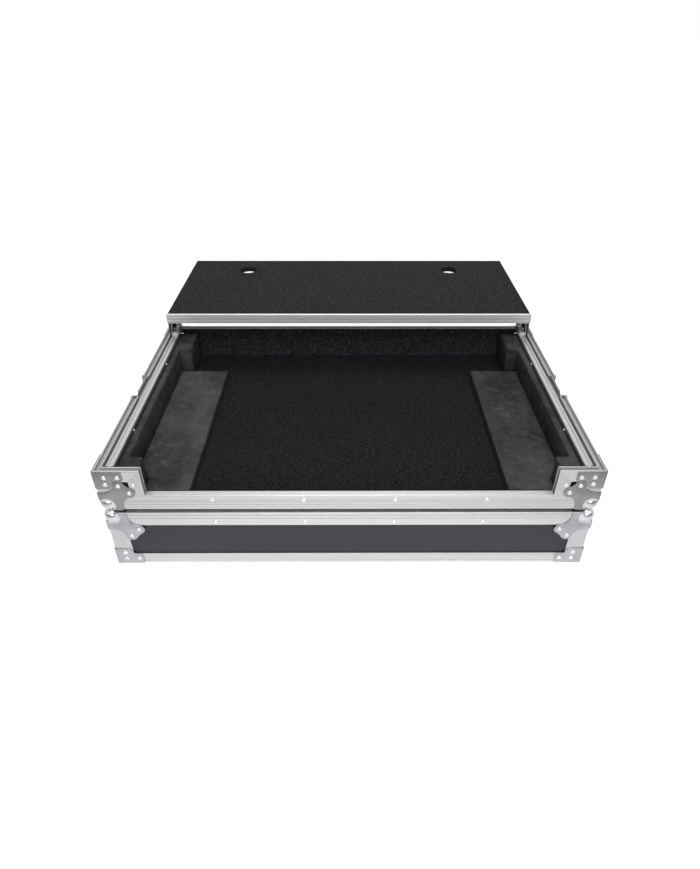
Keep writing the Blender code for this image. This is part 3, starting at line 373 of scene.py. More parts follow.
# %% The small finishes
def plain(name, colour, roughness, noise, span, tones, gloss, relief, **same_all_over):
    """One noise makes the finish. noise: its scale, stretch, detail and roughness; gloss: its share in the
    roughness, and the rest; relief: depth in millimetres, and strength."""
    finish = Finish(name, colour, roughness, **same_all_over)
    pattern = finish.clouds(*noise)
    factor = pattern.between(*span) if span else pattern
    finish.set(Base_Color=finish.mix(factor, *tones), Roughness=pattern * gloss[0] + gloss[1])
    finish.relief(pattern, relief[0] * MM, relief[1])
    return finish.material


def powder_coat():
    finish = Finish("black_powder_coat", (0.030, 0.030, 0.032), 0.42)
    peel = finish.clouds(1100.0, detail=2.0)
    rub = finish.clouds(55.0, detail=6.0, roughness=0.7).between(0.58, 0.74)
    finish.set(Base_Color=finish.mix(rub * 0.5, (0.026, 0.026, 0.028), (0.12, 0.12, 0.125)),
               Roughness=peel * 0.15 + 0.30)
    finish.relief(peel, 0.05 * MM, 0.6)
    return finish.material


EVEN = (1, 1, 1)
black_steel = powder_coat()
cast_steel = plain("cast_grey_steel", (0.30, 0.30, 0.305), 0.50, (260.0, EVEN, 5.0, 0.7), (0.35, 0.65),
                   ((0.20, 0.20, 0.202), (0.50, 0.50, 0.51)), (0.2, 0.35), (0.35, 0.8), Metallic=0.3)
pale_nylon = plain("pale_nylon", (0.78, 0.79, 0.78), 0.40, (120.0, EVEN, 4.0), None,
                   ((0.70, 0.71, 0.70), (0.86, 0.87, 0.86)), (0.2, 0.3), (0.03, 0.4),
                   Subsurface_Weight=0.1, Subsurface_Scale=0.002)
stained_wood = plain("black_stained_wood", (0.015, 0.015, 0.015), 0.70,
                     (3.0, (150, 1.5, 150), 4.0, 0.6), None,
                     ((0.020, 0.020, 0.020), (0.060, 0.060, 0.058)), (0.2, 0.50), (0.12, 0.6))
print("small finishes:", black_steel.name, cast_steel.name, pale_nylon.name, stained_wood.name)

# %% [markdown]
# ## Building pieces from sections
# Most of the case is extruded or pressed, so most pieces are a row of equal outlines with skin between
# them: a loft. Blender's own extrude and bevel could do it step by step, but an outline in code can carry
# a rounding at each corner, and the two ends of a bar can be cut to a mitre just by moving points.

# %% Outlines
def mm(*points):
    """Points that are written in millimetres."""
    return [tuple(v * MM for v in point) for point in points]


def arc(centre, radius, start, end, steps):
    """Points on an arc, with its angles in degrees and both ends included."""
    turns = [math.radians(start + (end - start) * i / steps) for i in range(steps + 1)]
    return [(centre[0] + radius * math.cos(t), centre[1] + radius * math.sin(t)) for t in turns]


def curve(start, pull, end, steps):
    """Points on a curve from start to end that is drawn towards pull."""
    turns = [i / steps for i in range(steps + 1)]
    return [tuple(start * (1 - t) ** 2 + pull * (2 * t * (1 - t)) + end * t ** 2) for t in turns]


def rounded(points, radius=0.0, steps=4):
    """The outline with soft corners. A point may carry its own radius as a third number."""
    outline, count = [], len(points)
    for i, point in enumerate(points):
        here, before, after = (Vector(points[j % count][:2]) for j in (i, i - 1, i + 1))
        wanted = point[2] if len(point) > 2 else radius
        reach = min(wanted, 0.42 * (before - here).length, 0.42 * (after - here).length)
        if reach <= 1e-6:
            outline.append(tuple(here))
        else:
            start, end = (here + (there - here).normalized() * reach for there in (before, after))
            outline += curve(start, here, end, steps)
    return outline


def shrunk(outline, distance):
    """The outline moved inwards by distance along its own normals."""
    if not distance:
        return outline
    count = len(outline)
    area = sum(outline[i - 1][0] * outline[i][1] - outline[i][0] * outline[i - 1][1] for i in range(count))
    turn = 1 if area > 0 else -1
    moved = []
    for i, point in enumerate(outline):
        before = Vector(point) - Vector(outline[i - 1])
        after = Vector(outline[(i + 1) % count]) - Vector(point)
        n1, n2 = (Vector((-v.y, v.x)).normalized() * turn for v in (before, after))
        middle = n1 + n2
        moved.append(tuple(Vector(point) + middle * (distance / max(middle.length_squared / 2, 0.35))))
    return moved


print("a millimetre is", mm((1,))[0][0], "m")

# %% [markdown]
# The outlines go into lofts. A prism is the commonest one, with the same outline at both ends. Each
# finished mesh then becomes a piece of the case in one call, which also says what it rides on.

# %% Lofts, and the call that turns a mesh into a piece
def loft(shape, rows):
    """Skin a row of equal outlines and cap both ends. Gives the faces back, row by row."""
    made = [[shape.verts.new(point) for point in row] for row in rows]
    count = len(made[0])
    faces = []
    for row, after in zip(made, made[1:]):
        for i in range(count):
            j = (i + 1) % count
            faces.append(shape.faces.new((row[i], row[j], after[j], after[i])))
    return faces + [shape.faces.new(made[0]), shape.faces.new(list(reversed(made[-1])))]


def prism(shape, outline, start, end, axis, ease=0.0):
    """A flat outline drawn out along X, Y or Z. ease rounds the edges at both ends."""
    def place(point, level):
        return {"X": (level, *point), "Y": (point[0], level, point[1]), "Z": (*point, level)}[axis]
    way = 1 if end > start else -1
    levels = [(start, 0.0), (end, 0.0)]
    if ease:
        half = ease * 0.3
        levels = [(start, ease), (start + way * half, half), (start + way * ease, 0.0),
                  (end - way * ease, 0.0), (end - way * half, half), (end, ease)]
    loft(shape, [[place(point, level) for point in shrunk(outline, inset)] for level, inset in levels])


def box_outline(low, high):
    return [(low[0], low[1]), (high[0], low[1]), (high[0], high[1]), (low[0], high[1])]


def block(shape, low, high, ease=0.0):
    outline = box_outline(low, high)
    prism(shape, rounded(outline, ease, 3) if ease else outline, low[2], high[2], "Z", ease)


def mesh_of(build):
    shape = bmesh.new()
    build(shape)
    bmesh.ops.recalc_face_normals(shape, faces=shape.faces)
    mesh = bpy.data.meshes.new("shape")
    shape.to_mesh(mesh)
    shape.free()
    return mesh


def fit_piece(name, mesh, finish, body, instead_of=(), sharp=32):
    """Make a mesh a piece of the case: its finish, the body that it rides on and what it stands for."""
    made = bpy.data.objects.new(name, mesh)
    mesh.name = name
    mesh.materials.clear()
    mesh.materials.append(finish)
    mesh.shade_smooth()
    mesh.set_sharp_from_angle(angle=math.radians(sharp))
    bpy.context.scene.collection.objects.link(made)
    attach(made, body)
    if instead_of:
        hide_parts(*instead_of)
    return made


SIDES, ENDS = (("left", -1), ("right", 1)), (("front", -1), ("rear", 1))
CORNERS = [(f"{end_name}_{side_name}", side, end) for end_name, end in ENDS for side_name, side in SIDES]
HALVES = (("lid", LID_TOP, -1), ("tray", TRAY_BOTTOM, 1))
FIT, JOINT, EASE = 0.3 * MM, 0.12 * MM, 0.5 * MM


def corner_xy(side, end, a, b):
    """Plan point a inside the left or right face and b inside the front or rear face."""
    return side * (HALF - a), FRONT + b if end < 0 else REAR - b


print(len(CORNERS), "corners:", ", ".join(name for name, _, _ in CORNERS))

# %% [markdown]
# ## Blind rivets
# Every steel part is held by blind rivets. Each has a low domed head, and in its middle the hole that the
# mandrel left, which reads as a dark dot from any distance: its faces get a black finish, a painted shade.
# A rivet is a turned shape, so it is a loft of circles: the radius and height of each ring, in millimetres,
# go down the dome and into the hole.

# %% The rivet and a way to set many of them
RIVET_RINGS = ((4.0, -0.2), (4.0, 0.30), (3.75, 0.85), (3.2, 1.35), (2.6, 1.66), (2.05, 1.76), (1.80, 1.6),
               (1.70, 0.6), (0.6, 0.45))
RIVET_SIDES, SHADED_HOLE_RINGS = 24, (6, 8)


def turned(shape, foot, outward, rings, sides, size=1.0):
    """A turned shape that stands on foot and points outward. Its rings are radius and height in mm."""
    outward, foot = Vector(outward).normalized(), Vector(foot)
    across = outward.orthogonal().normalized()
    along = outward.cross(across)
    turns = [2 * math.pi * i / sides for i in range(sides)]
    return loft(shape, [[foot + (across * math.cos(t) + along * math.sin(t)) * (radius * size * MM)
                         + outward * (height * size * MM) for t in turns] for radius, height in rings])


def set_rivets(name, places, body):
    """places is a list of foot, outward direction and size. The faces in a rivet's hole get a black finish as
    painted shade.
    """
    def build(shape):
        for foot, outward, size in places:
            faces = turned(shape, foot, outward, RIVET_RINGS, RIVET_SIDES, size)
            first, last = (RIVET_SIDES * ring for ring in SHADED_HOLE_RINGS)
            for face in faces[first:last] + faces[-1:]:
                face.material_index = 1
    made = fit_piece(name, mesh_of(build), rivet_metal, body, sharp=50)
    made.data.materials.append(black_steel)


print("a rivet is", 2 * RIVET_RINGS[0][0], "mm across")

# %% [markdown]
# ## Grooves in the bars
# The die presses narrow grooves into every bar, which read as dark lines. They could be painted in the
# finish, but cut into the outline they also show at a bar's ends and catch the light. The faces inside them
# are found by their depth behind the bar's outer planes, and get the groove's painted shade.

# %% Grooves, and their painted shade
BALL_INSET, SKIN, ANGLE_LEG = 9.7 * MM, 1.7 * MM, 27.1 * MM
OPENING = HALF - 73.3 * MM
CAP_UNDER = TRAY_BOTTOM + ANGLE_LEG + FIT
LOW_FRONT = CAP_UNDER + SKIN
OUTER_PLANES = [(0, HALF), (0, -HALF), (0, OPENING), (0, -OPENING), (1, FRONT), (1, REAR), (2, LID_RIM),
                (2, LID_TOP), (2, TRAY_BOTTOM), (2, TRAY_RIM), (2, LOW_FRONT)]


def grooves(places, depth=0.40):
    """Grooves 1.15 mm wide along a bar's outer line, at these distances from its corner in millimetres."""
    mouth, floor = 1.15 / 2, 1.15 * 0.42
    return [point for place in places
            for point in mm((0, place - mouth), (depth, place - floor),
                            (depth, place + floor), (0, place + mouth))]


def paint_groove_shade(bar, planes=OUTER_PLANES, deepest=6.2 * MM, walls=True):
    """Give the faces that lie a little behind the bar's outer planes the painted shade of a groove."""
    bar.data.materials.append(painted_groove_shade)
    for face in bar.data.polygons:
        depth, axis = min((abs(face.center[axis] - place), axis) for axis, place in planes)
        flatness = max(abs(part) for part in face.normal) if walls else abs(face.normal[axis])
        if 0.2 * MM < depth < deepest and flatness > 0.98:
            face.material_index = 1


def aluminium_bar(name, build, run, body, nodes, walls=True):
    bar = fit_piece(name, mesh_of(build), aluminium[run], body, nodes)
    paint_groove_shade(bar, walls=walls)


print("grooves lie behind", len(OUTER_PLANES), "planes")

# %% [markdown]
# ## The edge angles and upright corner angles
# Along every edge of the lid's top and the tray's bottom runs an aluminium angle, 27 mm on each leg, with a
# softly rounded corner. Each bar is mitred, and the ball corners cover the joints. A frame in one loft
# would be simpler, but real bars meet in a hair of a gap, so each is its own loft. Where a ball sits, the
# bar is cut off square, inside the ball. A plain 30 mm angle stands at each corner between the edge angle
# and the rim: rounder, and smooth, so that the steel corners can lie flat on it.

# %% Mitred bars and corner posts
def angle_profile(leg, corner, down=(), across=()):
    """Outline of an angle. u runs inwards from the outer face, v away from the case's edge."""
    flat = [(v, u) for u, v in reversed(grooves(across))]
    return rounded([(0, 0, corner), *grooves(down), (0, leg, EASE), (SKIN, leg, EASE), (SKIN, SKIN),
                    (leg, SKIN, EASE), (leg, 0, EASE), *flat])


def bar_across(shape, profile, end, level, rise, clip=0.0):
    """A bar along the front or rear, mitred at both ends."""
    loft(shape, [[(side * (HALF - max(u, clip) - JOINT), corner_xy(side, end, 0, u)[1], level + rise * v)
                  for u, v in profile] for side in (-1, 1)])


def bar_along(shape, profile, side, level, rise, clip=0.0, cuts=()):
    """A bar along the left or right, mitred at both ends, in stretches if cuts are given."""
    first, last = ([(side * (HALF - u), corner_xy(side, end, 0, max(u, clip) + JOINT)[1], level + rise * v)
                    for u, v in profile] for end in (-1, 1))
    rows = [first, *[[(side * (HALF - u), y, level + rise * v) for u, v in profile] for y in cuts], last]
    for start, end in zip(rows[::2], rows[1::2]):
        loft(shape, [start, end])


def edge_angles(label, level, rise, down):
    profile = angle_profile(ANGLE_LEG, 1.3 * MM, down, (6.0, 13.0, 20.0))
    for run, bar in (("across", bar_across), ("along", bar_along)):
        def both(shape):
            for way in (-1, 1):
                bar(shape, profile, way, level, rise, BALL_INSET)
        aluminium_bar(f"{label}_angles_{run}", both, run, label, [f"{label}_edge_frame"])


def corner_posts(label, level, rise, length):
    profile = angle_profile(30 * MM, 2.2 * MM)

    def build(shape):
        for _, side, end in CORNERS:
            levels = (level + rise * (ANGLE_LEG + 0.1 * MM), level + rise * length)
            loft(shape, [[(*corner_xy(side, end, u, v), z) for u, v in profile] for z in levels])
    fit_piece(f"{label}_corner_posts", mesh_of(build), aluminium["upright"], label,
              [f"{label}_edge_frame"])


RIM_FACE = 21.5 * MM
edge_angles("lid", LID_TOP, -1, (5.1, 11.8))
edge_angles("tray", TRAY_BOTTOM, 1, (5.0, 10.4, 15.3, 19.4))
corner_posts("lid", LID_TOP, -1, LID_TOP - LID_RIM - RIM_FACE - FIT)
corner_posts("tray", TRAY_BOTTOM, 1, TRAY_RIM - TRAY_BOTTOM - RIM_FACE - FIT)
print("edge angles:", ANGLE_LEG / MM, "mm legs,", SKIN / MM, "mm thick; corner posts: 8")

# %% [markdown]
# ## The rims
# Lid and tray meet in a tongue and a groove: the lid's rim has a tongue all round, the tray's a groove. Both
# grip the edge of the 8 mm boards, and their outer faces have three fine grooves. At the latches the rim is
# cut away and only its inner skin runs on.

# %% Rim bars with tongue or groove
RIM_WIDTH, RIM_WEB, RIM_GRIP = 12 * MM, 8 * MM, 10.3 * MM
NOTCH_FRONT, NOTCH_REAR = LATCH_Y - 36 * MM, LATCH_Y + 36 * MM


def rim_profile(mouth, groove=0.40):
    face = grooves((5.6, 11.7, 17.8), groove)
    return rounded([(0, 0, 0.8 * MM), *mouth, (RIM_WIDTH, 0, 0.7 * MM), (RIM_WIDTH, RIM_FACE, 0.4 * MM),
                    (RIM_GRIP, RIM_FACE, 0.4 * MM), (RIM_GRIP, RIM_WEB), (SKIN, RIM_WEB),
                    (SKIN, RIM_FACE, 0.4 * MM), (0, RIM_FACE, EASE), *reversed(face)])


tray_mouth = mm((2.4, 0, 0.5), (2.8, 6, 0.3), (9.7, 6, 0.3), (10.1, 0, 0.5))
tray_profile, front_profile = rim_profile(tray_mouth), rim_profile(tray_mouth, 0.12)
lid_profile = rim_profile(mm((4, 0), (4.3, -4, 0.7), (8.7, -4, 0.7), (9, 0)))


def rim_sides(label, profile, level, rise, nodes):
    def build(shape):
        for side in (-1, 1):
            bar_along(shape, profile, side, level, rise, 0.0, (NOTCH_FRONT, NOTCH_REAR))
            x0, x1 = sorted((side * (HALF - 10.2 * MM), side * (HALF - RIM_WIDTH)))
            z0, z1 = sorted((level + rise * (RIM_WEB + FIT), level + rise * RIM_FACE))
            block(shape, (x0, NOTCH_FRONT, z0), (x1, NOTCH_REAR, z1))
    aluminium_bar(f"{label}_rim_sides", build, "along", label, nodes)


def lid_ends(shape):
    for end in (-1, 1):
        bar_across(shape, lid_profile, end, LID_RIM, 1)


rim_sides("lid", lid_profile, LID_RIM, 1, ["lid_rim_frame"])
rim_sides("tray", tray_profile, TRAY_RIM, -1, ["tray_rim_left", "tray_rim_right"])
aluminium_bar("lid_rim_ends", lid_ends, "across", "lid", ["lid_rim_frame"])
aluminium_bar("tray_rim_behind", lambda shape: bar_across(shape, tray_profile, 1, TRAY_RIM, -1), "across",
              "tray", ["tray_rim_rear"])
print("rim faces", RIM_FACE / MM, "mm high, latch notch", round((NOTCH_REAR - NOTCH_FRONT) / MM), "mm")

# %% [markdown]
# ## The open front
# The tray's front is low, so that hands reach the controller. The rim turns down at each end of the
# opening, with a mitre at the turn, and ends on the cap of the low wall. The two upright bars are lofts of
# the same outline with its second direction laid across instead of down. Their grooves are shallower.

# %% Front uprights and the low wall's cap
def front_levels(shape):
    for side in (-1, 1):
        loft(shape, [[(side * (HALF - u - JOINT), FRONT + u, TRAY_RIM - v) for u, v in front_profile],
                     [(side * (OPENING + v + JOINT), FRONT + u, TRAY_RIM - v) for u, v in front_profile]])


def front_uprights(shape):
    for side in (-1, 1):
        loft(shape, [[(side * (OPENING + v), FRONT + u, TRAY_RIM - v - JOINT) for u, v in front_profile],
                     [(side * (OPENING + v), FRONT + u, CAP_UNDER) for u, v in front_profile]])


def front_cap(shape):
    """Seen from the side: how far behind the front, and how high. Two shallow grooves run along its top."""
    inner, back, low = FRONT + RIM_GRIP, FRONT + RIM_WIDTH - 0.1 * MM, LOW_FRONT - 15 * MM
    top = [(FRONT + a, LOW_FRONT - d) for a, d in mm((2.4, 0), (2.6, 0.35), (3.4, 0.35), (3.6, 0), (7.4, 0),
                                                     (7.6, 0.35), (8.4, 0.35), (8.6, 0))]
    outline = rounded([(FRONT + 0.1 * MM, CAP_UNDER, 0.3 * MM), (inner, CAP_UNDER), (inner, low, 0.4 * MM),
                       (back, low, 0.4 * MM), (back, LOW_FRONT, 0.9 * MM), *reversed(top),
                       (FRONT + 0.1 * MM, LOW_FRONT, EASE)])
    prism(shape, outline, -OPENING + JOINT, OPENING - JOINT, "X")


for name, build, run in (("levels", front_levels, "across"), ("uprights", front_uprights, "upright"),
                         ("cap", front_cap, "across")):
    aluminium_bar(f"tray_front_{name}", build, run, "tray", ["tray_rim_front"], walls=False)
print("opening", round(2 * OPENING / MM, 1), "mm wide, low front at", round(LOW_FRONT, 4))

# %% [markdown]
# ## Ball corners
# A ball corner is one pressing: a ball, and three wings that lie on the faces of the case, each with two
# rivets. It is made once, in corner coordinates a, b and c that run inwards from the three faces, and a
# matrix that mirrors puts it on all eight corners. The wings are soft outlines with a rolled edge, and
# along the case's edges they are joined by folds whose radius shrinks from the ball's to the thickness of
# the steel.

# %% The wings and folds of one ball corner
BALL_RADIUS, PLATE, STAND, LAP = 13.8 * MM, 1.2 * MM, 1.5 * MM, 0.35 * MM
WING_LEAVES, LOBE_NEAR, LOBE_FAR, LOBE_RADIUS = 35.0 * MM, 35.5 * MM, 50.0 * MM, 9.5 * MM
FLARE_RADIUS, FOLD_FULL = 13.7 * MM, 20 * MM
FACES = ((0, 1, 2), (2, 0, 1), (1, 2, 0))


def bent(centre, outer, steps=8):
    """The section of a sheet bent round an edge: an outer arc, and an inner one back."""
    return (arc((centre, centre), centre + outer, 180, 270, steps)
            + arc((centre, centre), centre + STAND - PLATE, 270, 180, steps))


def wing_outline():
    """The outline of a wing, symmetric about its diagonal, with a bite where the flare lies."""
    far = arc((LOBE_FAR, LOBE_NEAR), LOBE_RADIUS, -95, 50, 12)
    bend = LOBE_NEAR - LOBE_RADIUS
    start, pull = Vector((WING_LEAVES, bend / 4)), Vector((WING_LEAVES + bend / 8, bend * 0.92))
    hollow = curve(start, pull, Vector(far[0]), 7)
    nose = 1.6 * MM
    half = [(FOLD_FULL, FIT - LAP), (WING_LEAVES - nose, FIT - LAP),
            *arc((WING_LEAVES - nose, nose), nose, -80, 0, 4), *hollow[1:-1], *far]
    notch = (LOBE_FAR + LOBE_NEAR) / 2 + LOBE_RADIUS * 0.60
    bite = arc((BALL_INSET, BALL_INSET), FLARE_RADIUS, 130, -40, 17)
    return [*bite, *half, (notch, notch), *[(b, a) for a, b in reversed(half)]]


def plate_rows(outline):
    """A plate with a rolled edge: the outline at its underside, near its top, and drawn in at its top."""
    return [(shrunk(outline, inset * MM), depth * MM - STAND)
            for inset, depth in ((0, PLATE / MM), (0, 0.35), (0.10, 0.10), (0.35, 0))]


def turned_about(point, order):
    return tuple(point[i] for i in order)


def ball_corner_parts(shape):
    outline = wing_outline()
    folds = []
    for a in (v * MM for v in (12.2, 13.2, 14.4, 15.8, 17.4, 18.8, 20.0, 24.0, 33.4, 34.4, 34.9)):
        share = min(1.0, max(0.0, (a - BALL_INSET) / (FOLD_FULL - BALL_INSET)))
        folds.append([(a, b, c) for b, c in bent(BALL_INSET + (FIT - BALL_INSET) * share, STAND)])
    for order in FACES:
        loft(shape, [[turned_about((a, b, depth), order) for a, b in points]
                     for points, depth in plate_rows(outline)])
        loft(shape, [[turned_about(point, order) for point in row] for row in folds])


wings_mesh = mesh_of(ball_corner_parts)
print("wings", len(wings_mesh.polygons), "faces")

# %% [markdown]
# The ball is a sphere with the part inside the boards left out. Round its foot the steel is drawn into a
# shallow polished hollow, a flare, which mirrors the room and frames the ball. A torus would stand proud,
# so the flare is one section, turned about the ball's centre over each flat wing.

# %% The ball with its flares, and a way to place a corner
FLARE_SECTION = ((14.0, 0.4), (14.0, 1.40), (13.5, 1.48), (12.9, 1.40), (12.0, 1.12), (11.1, 0.88),
                 (10.3, 0.76), (9.6, 0.78), (9.1, 0.86), (8.7, 0.85), (8.7, 0.4))


def flare(shape, order):
    rows = []
    for i in range(31):
        t = math.radians(-45 + 180 * i / 30)
        rows.append([turned_about((BALL_INSET + radius * MM * math.cos(t),
                                   BALL_INSET + radius * MM * math.sin(t), -rise * MM), order)
                     for radius, rise in FLARE_SECTION])
    loft(shape, rows)


def ball_faces():
    """The sphere's outer faces, sorted, because Blender makes them in another order each time."""
    sphere = bmesh.new()
    bmesh.ops.create_uvsphere(sphere, u_segments=64, v_segments=40, radius=BALL_RADIUS)
    tilt = Vector((0, 0, 1)).rotation_difference(Vector((-1, -1, -1))).to_matrix()
    bmesh.ops.rotate(sphere, verts=sphere.verts, cent=(0, 0, 0), matrix=tilt)
    bmesh.ops.translate(sphere, verts=sphere.verts, vec=(BALL_INSET,) * 3)
    faces = sorted([tuple(vert.co) for vert in face.verts] for face in sphere.faces
                   if min(face.calc_center_median()) <= 2.5 * MM)
    sphere.free()
    return faces


def ball_shell(shape):
    faces = ball_faces()
    made = {point: shape.verts.new(point) for point in sorted(set(sum(faces, [])))}
    for points in faces:
        shape.faces.new([made[point] for point in points])
    for order in FACES:
        flare(shape, order)


def placed_at(mesh, side, end, level, rise):
    """The mesh in corner coordinates, put on one corner of the case. A mirroring turns its faces round."""
    y0, toward = (FRONT, 1) if end < 0 else (REAR, -1)
    place = Matrix(((-side, 0, 0, side * HALF), (0, toward, 0, y0), (0, 0, rise, level), (0, 0, 0, 1)))
    copy = mesh.copy()
    copy.transform(place)
    if place.determinant() < 0:
        copy.flip_normals()
    return copy


ball_mesh = mesh_of(ball_shell)
print("ball", len(ball_mesh.polygons), "faces")

# %% [markdown]
# The eight corners follow. Four sit on the lid's top and four on the tray's bottom, so that in this
# position the balls of the lid and the tray face each other, with barely room for a sheet of paper.

# %% Eight ball corners and their rivets
def face_rivets(side, end, level, rise, places, on_flat):
    """Rivets on both upright faces of a corner, and on the flat one if asked."""
    found = []
    for a, b in places:
        found.append(((*corner_xy(side, end, a, -STAND), level + rise * b), (0, end, 0), 1.0))
        found.append(((*corner_xy(side, end, -STAND, a), level + rise * b), (side, 0, 0), 1.0))
        if on_flat:
            found.append(((*corner_xy(side, end, a, b), level - rise * STAND), (0, 0, -rise), 1.0))
    return found


LOBES = ((LOBE_FAR, LOBE_NEAR), (LOBE_NEAR, LOBE_FAR))
for label, level, rise in HALVES:
    for corner, side, end in CORNERS:
        for name, mesh, steel, sharp in (("wings", wings_mesh, plate_steel[label], 50),
                                         ("ball", ball_mesh, ball_steel, 80)):
            fit_piece(f"{label}_{name}_{corner}", placed_at(mesh, side, end, level, rise), steel, label,
                      [f"{label}_ball_corner_{corner}"], sharp)
        set_rivets(f"{label}_wing_rivets_{corner}", face_rivets(side, end, level, rise, LOBES, True), label)
print("ball corners placed:", 2 * len(CORNERS))

# %% [markdown]
# ## Corner braces
# At the rims each corner is tied by a riveted brace, a steel plate folded round it. The tray's braces have
# a narrower upright arm and a larger hollow than the lid's. They are built like the wings: two plates with
# a rolled edge and a fold between them.

# %% Eight corner braces
BRACE_WIDTH, BRACE_HEIGHT, BRACE_CUT = 45.0 * MM, 34.4 * MM, 4.5 * MM
BRACE_RIVETS = mm((16.8, 11.8), (37.5, 11.8), (16.3, 25.4))
BRACES = {"tray": (TRAY_RIM, -1, 25.0 * MM, 18.5 * MM, 10.1 * MM),
          "lid": (LID_RIM, 1, 29.0 * MM, 21.8 * MM, 7.5 * MM)}


def brace_parts(shape, post, run, bend):
    hollow = arc((post + bend, run + bend), bend, 270, 180, 8)
    outline = rounded([(FIT - LAP, FIT), (BRACE_WIDTH, FIT, 1.2 * MM), (BRACE_WIDTH, run, 1.5 * MM), *hollow,
                       (post, BRACE_HEIGHT - BRACE_CUT, 1.5 * MM), (post - BRACE_CUT, BRACE_HEIGHT, 1.5 * MM),
                       (FIT - LAP, BRACE_HEIGHT)])
    for order in ((0, 1, 2), (1, 0, 2)):
        loft(shape, [[turned_about((a, depth, c), order) for a, c in points]
                     for points, depth in plate_rows(outline)])
    levels = ((FIT, 0.2 * MM), (FIT + 0.3 * MM, 0), (BRACE_HEIGHT - 0.3 * MM, 0), (BRACE_HEIGHT, 0.2 * MM))
    loft(shape, [[(a, b, c) for a, b in bent(FIT, STAND - eased)] for c, eased in levels])


for label, (level, rise, post, run, bend) in BRACES.items():
    brace = mesh_of(lambda shape: brace_parts(shape, post, run, bend))
    for corner, side, end in CORNERS:
        fit_piece(f"{label}_corner_brace_{corner}", placed_at(brace, side, end, level, rise),
                  plate_steel[label], label, [f"{label}_brace_{corner}"], 50)
        places = face_rivets(side, end, level, rise, BRACE_RIVETS, False)
        set_rivets(f"{label}_brace_rivets_{corner}", places, label)
print("braces placed:", 2 * len(CORNERS))

# %% [markdown]
# ## Rivets along the edges
# The edge angles are riveted to the boards at even steps, 20 mm above their corner: four along the front
# and rear, three along each side, and one in each front upright.

# %% Edge rivets
def row_of(middle, step, count):
    return [middle + step * (i - (count - 1) / 2) for i in range(count)]


for label, level, rise in HALVES:
    z = level + rise * 20 * MM
    places = [((x, y, z), (0, end, 0), 1.0)
              for x in row_of(0, 147 * MM, 4) for y, end in ((FRONT, -1), (REAR, 1))]
    places += [((side * HALF, y, z), (side, 0, 0), 1.0)
               for y in row_of(LATCH_Y, 128 * MM, 3) for side in (-1, 1)]
    if label == "tray":
        places += [((side * (OPENING + 15 * MM), FRONT, TRAY_RIM - 28.8 * MM), (0, -1, 0), 0.83)
                   for side in (-1, 1)]
    set_rivets(f"{label}_edge_rivets", places, label)
    print(label, "edge rivets:", len(places))

# %% [markdown]
# ## Guide tracks for the shelf
# Inside each side wall runs an aluminium track with two ridges and a groove between them, in which the
# shelf's nylon blocks slide. A steel strip screwed to a wooden batten stands beside it. The track is an
# extrusion, so it is a prism with rounded ridges.

# %% Tracks, and the screws beside them
track_low, track_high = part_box("guide_track_right")
TRACK_OUT, TRACK_IN = track_high.x, track_low.x
SCREW_RINGS = ((2.4, -0.1), (2.4, 0.25), (2.1, 0.85), (1.5, 1.2), (0.9, 1.35), (0.75, 0.75), (0.3, 0.7))
strip_face = min(abs(v.co.x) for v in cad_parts["guide_batten_right"].data.vertices)


def track_profile():
    """u runs inwards from the track's outer face, v down from its top, both in millimetres."""
    width, ridge, groove, height = (TRACK_OUT - TRACK_IN) / MM, 3.5, 3.0, 24
    return rounded(mm((0, 0, 0.8), (1.5, 0, 0.3), (1.75, 0.5), (2.0, 0, 0.3), (ridge, 0, 0.7),
                      (ridge + 0.2, groove, 0.5), (width - ridge - 0.2, groove, 0.5), (width - ridge, 0, 0.7),
                      (width, 0, 0.8), (width, height, 0.5), (0, height, 0.5)))


def strip_screws(shape):
    for side in (-1, 1):
        for y in (LATCH_Y - 140 * MM, LATCH_Y + 90 * MM):
            foot = (side * (strip_face + 1.5 * MM), y, TRAY_RIM - 4.2 * MM)
            turned(shape, foot, (-side, 0, 0.55), SCREW_RINGS, 20)


for label, side in SIDES:
    outline = [(side * (TRACK_OUT - u), TRAY_RIM - v) for u, v in track_profile()]
    track = mesh_of(lambda shape: prism(shape, outline, track_low.y, track_high.y, "Y"))
    fit_piece(f"shelf_track_{label}", track, aluminium["along"], "tray",
              [f"guide_track_{label}"])
print("track", round((TRACK_OUT - TRACK_IN) / MM, 1), "mm wide, strip's face at", round(strip_face, 4))

# %% [markdown]
# ## The shelf's aluminium edging
# A ribbed channel is pushed on the board's front edge and hangs a little below it. The bright line along
# its top is a painted highlight on its rounded corner; the grooves below get painted shade and read as dark
# lines.

# %% Shelf edging
edge_low, edge_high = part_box("shelf_front_edge")
EDGING_GROOVES = ((3.0, 2.6), (7.6, 0.5), (10.4, 1.9), (14.6, 0.6), (17.3, 1.6))  # below the top, and width


def shelf_edging(shape):
    """The channel seen from the side: one wall in front, and two lips that grip the board."""
    y, top, bottom = edge_low.y, edge_high.z, edge_low.z
    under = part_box("shelf_board")[0].z - FIT
    back, wall = edge_high.y, 1.2 * MM
    face = [(y + depth, top + drop) for place, width in EDGING_GROOVES
            for depth, drop in mm((0, width * 0.5 - place), (0.5, width * 0.42 - place),
                                  (0.5, -width * 0.42 - place), (0, -width * 0.5 - place))]
    prism(shape, rounded([(y, top, 1.0 * MM), *face, (y, bottom, 0.4 * MM), (y + wall, bottom, 0.4 * MM),
                          (y + wall, under - wall), (back, under - wall, 0.4 * MM), (back, under, 0.3 * MM),
                          (y + wall, under), (y + wall, top - wall), (back, top - wall, 0.3 * MM),
                          (back, top, 0.4 * MM)]), edge_low.x, edge_high.x, "X")


edging = fit_piece("shelf_edging", mesh_of(shelf_edging), aluminium["shelf"], "shelf",
                   ["shelf_front_edge"])
